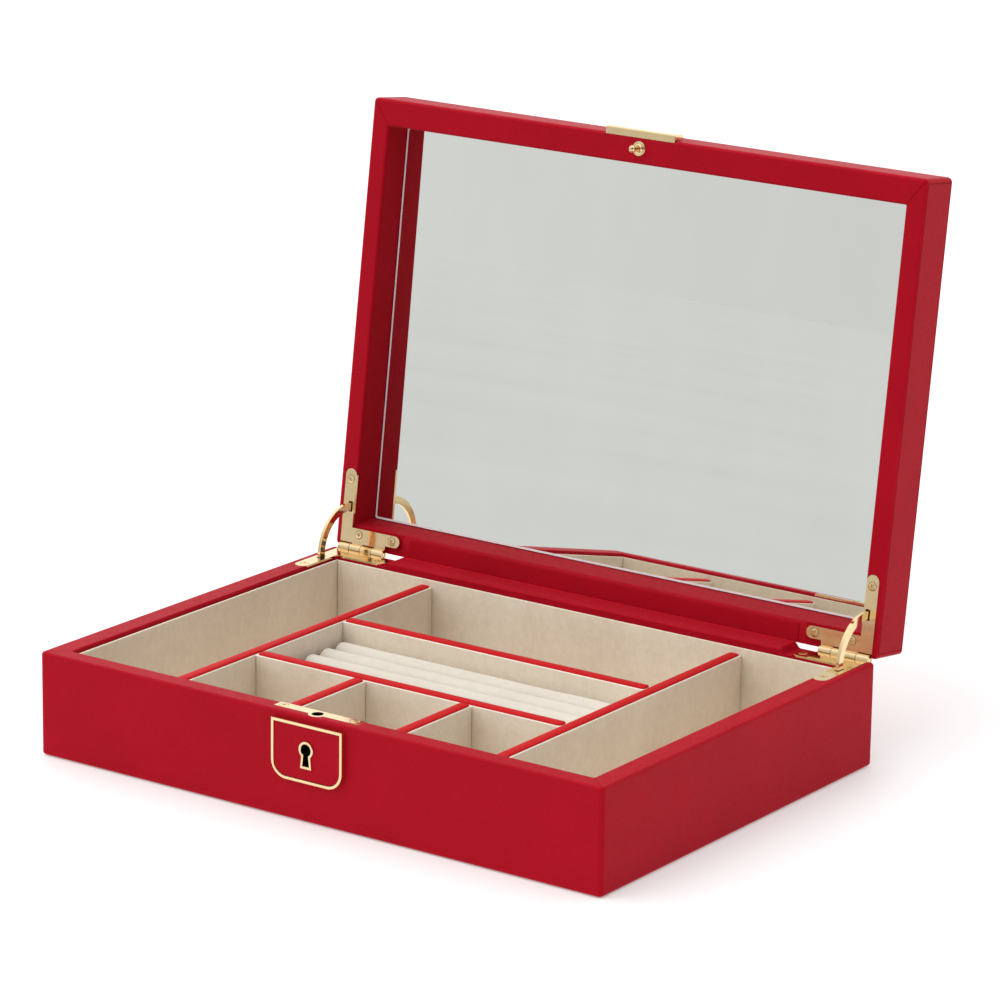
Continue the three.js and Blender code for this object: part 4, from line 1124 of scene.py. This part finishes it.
def mirror():
    """A silvered plate with ground arrises."""
    x = (LID_INNER_X[0] + MIRROR_GAP, LID_INNER_X[1] - MIRROR_GAP)
    y = (LID_INNER_Y[0] + MIRROR_GAP, LID_INNER_Y[1] - MIRROR_GAP)

    def ring(inset, z, lean):
        span_x, span_y = (x[0] + inset, x[1] - inset), (y[0] + inset, y[1] - inset)
        flat = rectangle_ring(span_x, span_y, z, 0.8, 0.8, 3)
        return [(px, py, pz + lean * py / y[1]) for px, py, pz in flat]

    edge_z = MIRROR_Z[0] + MIRROR_ARRIS_DEPTH
    bottom = ring(MIRROR_ARRIS, MIRROR_Z[0], MIRROR_LEAN)
    rings = [bottom, ring(0, edge_z, MIRROR_LEAN), ring(0, MIRROR_Z[1], 0)]
    piece = loft("mirror_plate", rings)
    finished(piece, "mirror_plate", "lid", MIRROR, ["mirror_glass"], LID_OPEN)
    # The arris faces get the ground glass with its painted glow.
    piece.data.materials.append(ARRIS_PAINTED_GLOW)
    for face in piece.data.polygons:
        if 0.9 < abs(face.normal.z) < 0.995:
            face.material_index = 1
    backing = frame["nodes"]["mirror_backing"]
    backing.data.materials.clear()
    backing.data.materials.append(BOARD)


# ---------------------------------------------------------------- the whole case

base_case()
bottom_pad()
for wall in ("floor", "front", "back", "left", "right"):
    suede_board(wall + "_liner")
for divider in ("left_long", "right_long", "rear_cross", "front_cross", "left_short", "right_short"):
    suede_board(divider + "_divider")
    divider_strip(divider + "_strip")
for number in range(1, ROLL_COUNT + 1):
    ring_roll(f"ring_roll_{number}", number)
lock_face()
lock_plate()
for word, side in SIDES:
    hinge_leaf("base", word, side, BASE_LEAF, 0, RIM_Z, -1, REST)
    hinge_leaf("lid", word, side, LID_LEAF, 1, LID_RIM, 1, LID_OPEN)
    hinge_pin(word, side)
    stay_arm(word, side)
latch_pin()
lift_plate()
lid_case()
mirror()

# ---------------------------------------------------------------- studio

VIEW_AZIMUTH = math.radians(35.197)
VIEW_ELEVATION = math.radians(15.608)
VIEW_ROLL = math.radians(0.827)
VIEW_DISTANCE = 1.84518
VIEW_ACROSS = 0.015689
VIEW_UP = 0.102842
VIEW_LENS = 168.35
SENSOR = 36.0


def camera():
    back = Vector((
        math.sin(VIEW_AZIMUTH) * math.cos(VIEW_ELEVATION),
        -math.cos(VIEW_AZIMUTH) * math.cos(VIEW_ELEVATION),
        math.sin(VIEW_ELEVATION),
    ))
    right = Vector((math.cos(VIEW_AZIMUTH), math.sin(VIEW_AZIMUTH), 0))
    up = back.cross(right)
    rolled_right = math.cos(VIEW_ROLL) * right + math.sin(VIEW_ROLL) * up
    rolled_up = -math.sin(VIEW_ROLL) * right + math.cos(VIEW_ROLL) * up
    data = bpy.data.cameras.new("camera")
    data.lens = VIEW_LENS
    data.sensor_width = SENSOR
    data.clip_start, data.clip_end = 0.05, 60
    made = bpy.data.objects.new("camera", data)
    turn = Matrix((rolled_right, rolled_up, back)).transposed().to_4x4()
    place = right * VIEW_ACROSS + up * VIEW_UP + back * VIEW_DISTANCE
    made.matrix_world = Matrix.Translation(place) @ turn
    bpy.context.scene.collection.objects.link(made)
    bpy.context.scene.camera = made


FLOOR_FADE = (-0.50, -0.36)
FLOOR_TONE = (0.405, 0.74)
FLOOR_GLOW = (0.10, 0.25)


def floor():
    """A pale floor that dims towards the front, as it would away from the lamps."""
    size = 9000
    piece = slab((-size, size), (-size, size), (-20, -0.05), "floor")
    material, tree, shader = new_material("floor_white", Roughness=0.7, Specular_IOR_Level=0.2)
    place = object_place(tree)
    across, depth, _ = add_node(tree, "ShaderNodeSeparateXYZ", {0: place}).outputs
    share = between(tree, weighed(tree, (depth, 1.0), (across, 0.5)), 0.0, 1.0, *FLOOR_FADE)
    cloud = between(tree, noise_value(tree, place, 3), -0.01, 0.01)
    tone = maths(tree, "ADD", between(tree, share, *FLOOR_TONE, 0.0, 1.0), cloud)
    shader.inputs["Emission Color"].default_value = (1, 1, 1, 1)
    glow = between(tree, share, *FLOOR_GLOW, 0.0, 1.0)
    plug(tree, shader, Base_Color=tone, Emission_Strength=glow)
    piece.data.materials.append(material)


def sun(name, strength, spread, direction):
    data = bpy.data.lights.new(name, "SUN")
    data.energy = strength
    data.angle = math.radians(spread)
    made = bpy.data.objects.new(name, data)
    made.rotation_euler = Vector(direction).to_track_quat("-Z", "Y").to_euler()
    made.visible_glossy = False
    bpy.context.scene.collection.objects.link(made)


SKY_GLOW = (0.49, 1.33)
DARK_SIDE = (0.56, -0.79, 0.25)
DARK_SPREAD = (0.78, 0.93)
DARK_GLOW = 0.12
KEY_STRENGTH = 1.35
KEY_SPREAD = 80


def studio():
    world = bpy.data.worlds.new("studio")
    world.use_nodes = True
    tree = world.node_tree
    background = tree.nodes["Background"]
    sky = add_node(tree, "ShaderNodeTexCoord").outputs["Generated"]
    across, depth, height = add_node(tree, "ShaderNodeSeparateXYZ", {0: sky}).outputs
    overhead = maths(tree, "MULTIPLY", height, height)
    rise = weighed(tree, (depth, 0.5), (across, -0.4), (overhead, 0.9))
    glow = between(tree, rise, *SKY_GLOW, -0.5, 0.9)
    facing = add_node(tree, "ShaderNodeVectorMath", {0: sky, 1: DARK_SIDE}, operation="DOT_PRODUCT")
    shade = between(tree, facing.outputs["Value"], 1.0, DARK_GLOW, *DARK_SPREAD)
    tree.links.new(maths(tree, "MULTIPLY", glow, shade), background.inputs["Strength"])
    background.inputs["Color"].default_value = (1.0, 1.0, 1.0, 1)
    bpy.context.scene.world = world
    sun("key", KEY_STRENGTH, KEY_SPREAD, (0.5, 0.55, -0.85))
    bpy.context.scene.view_settings.view_transform = "Standard"


camera()
floor()
studio()
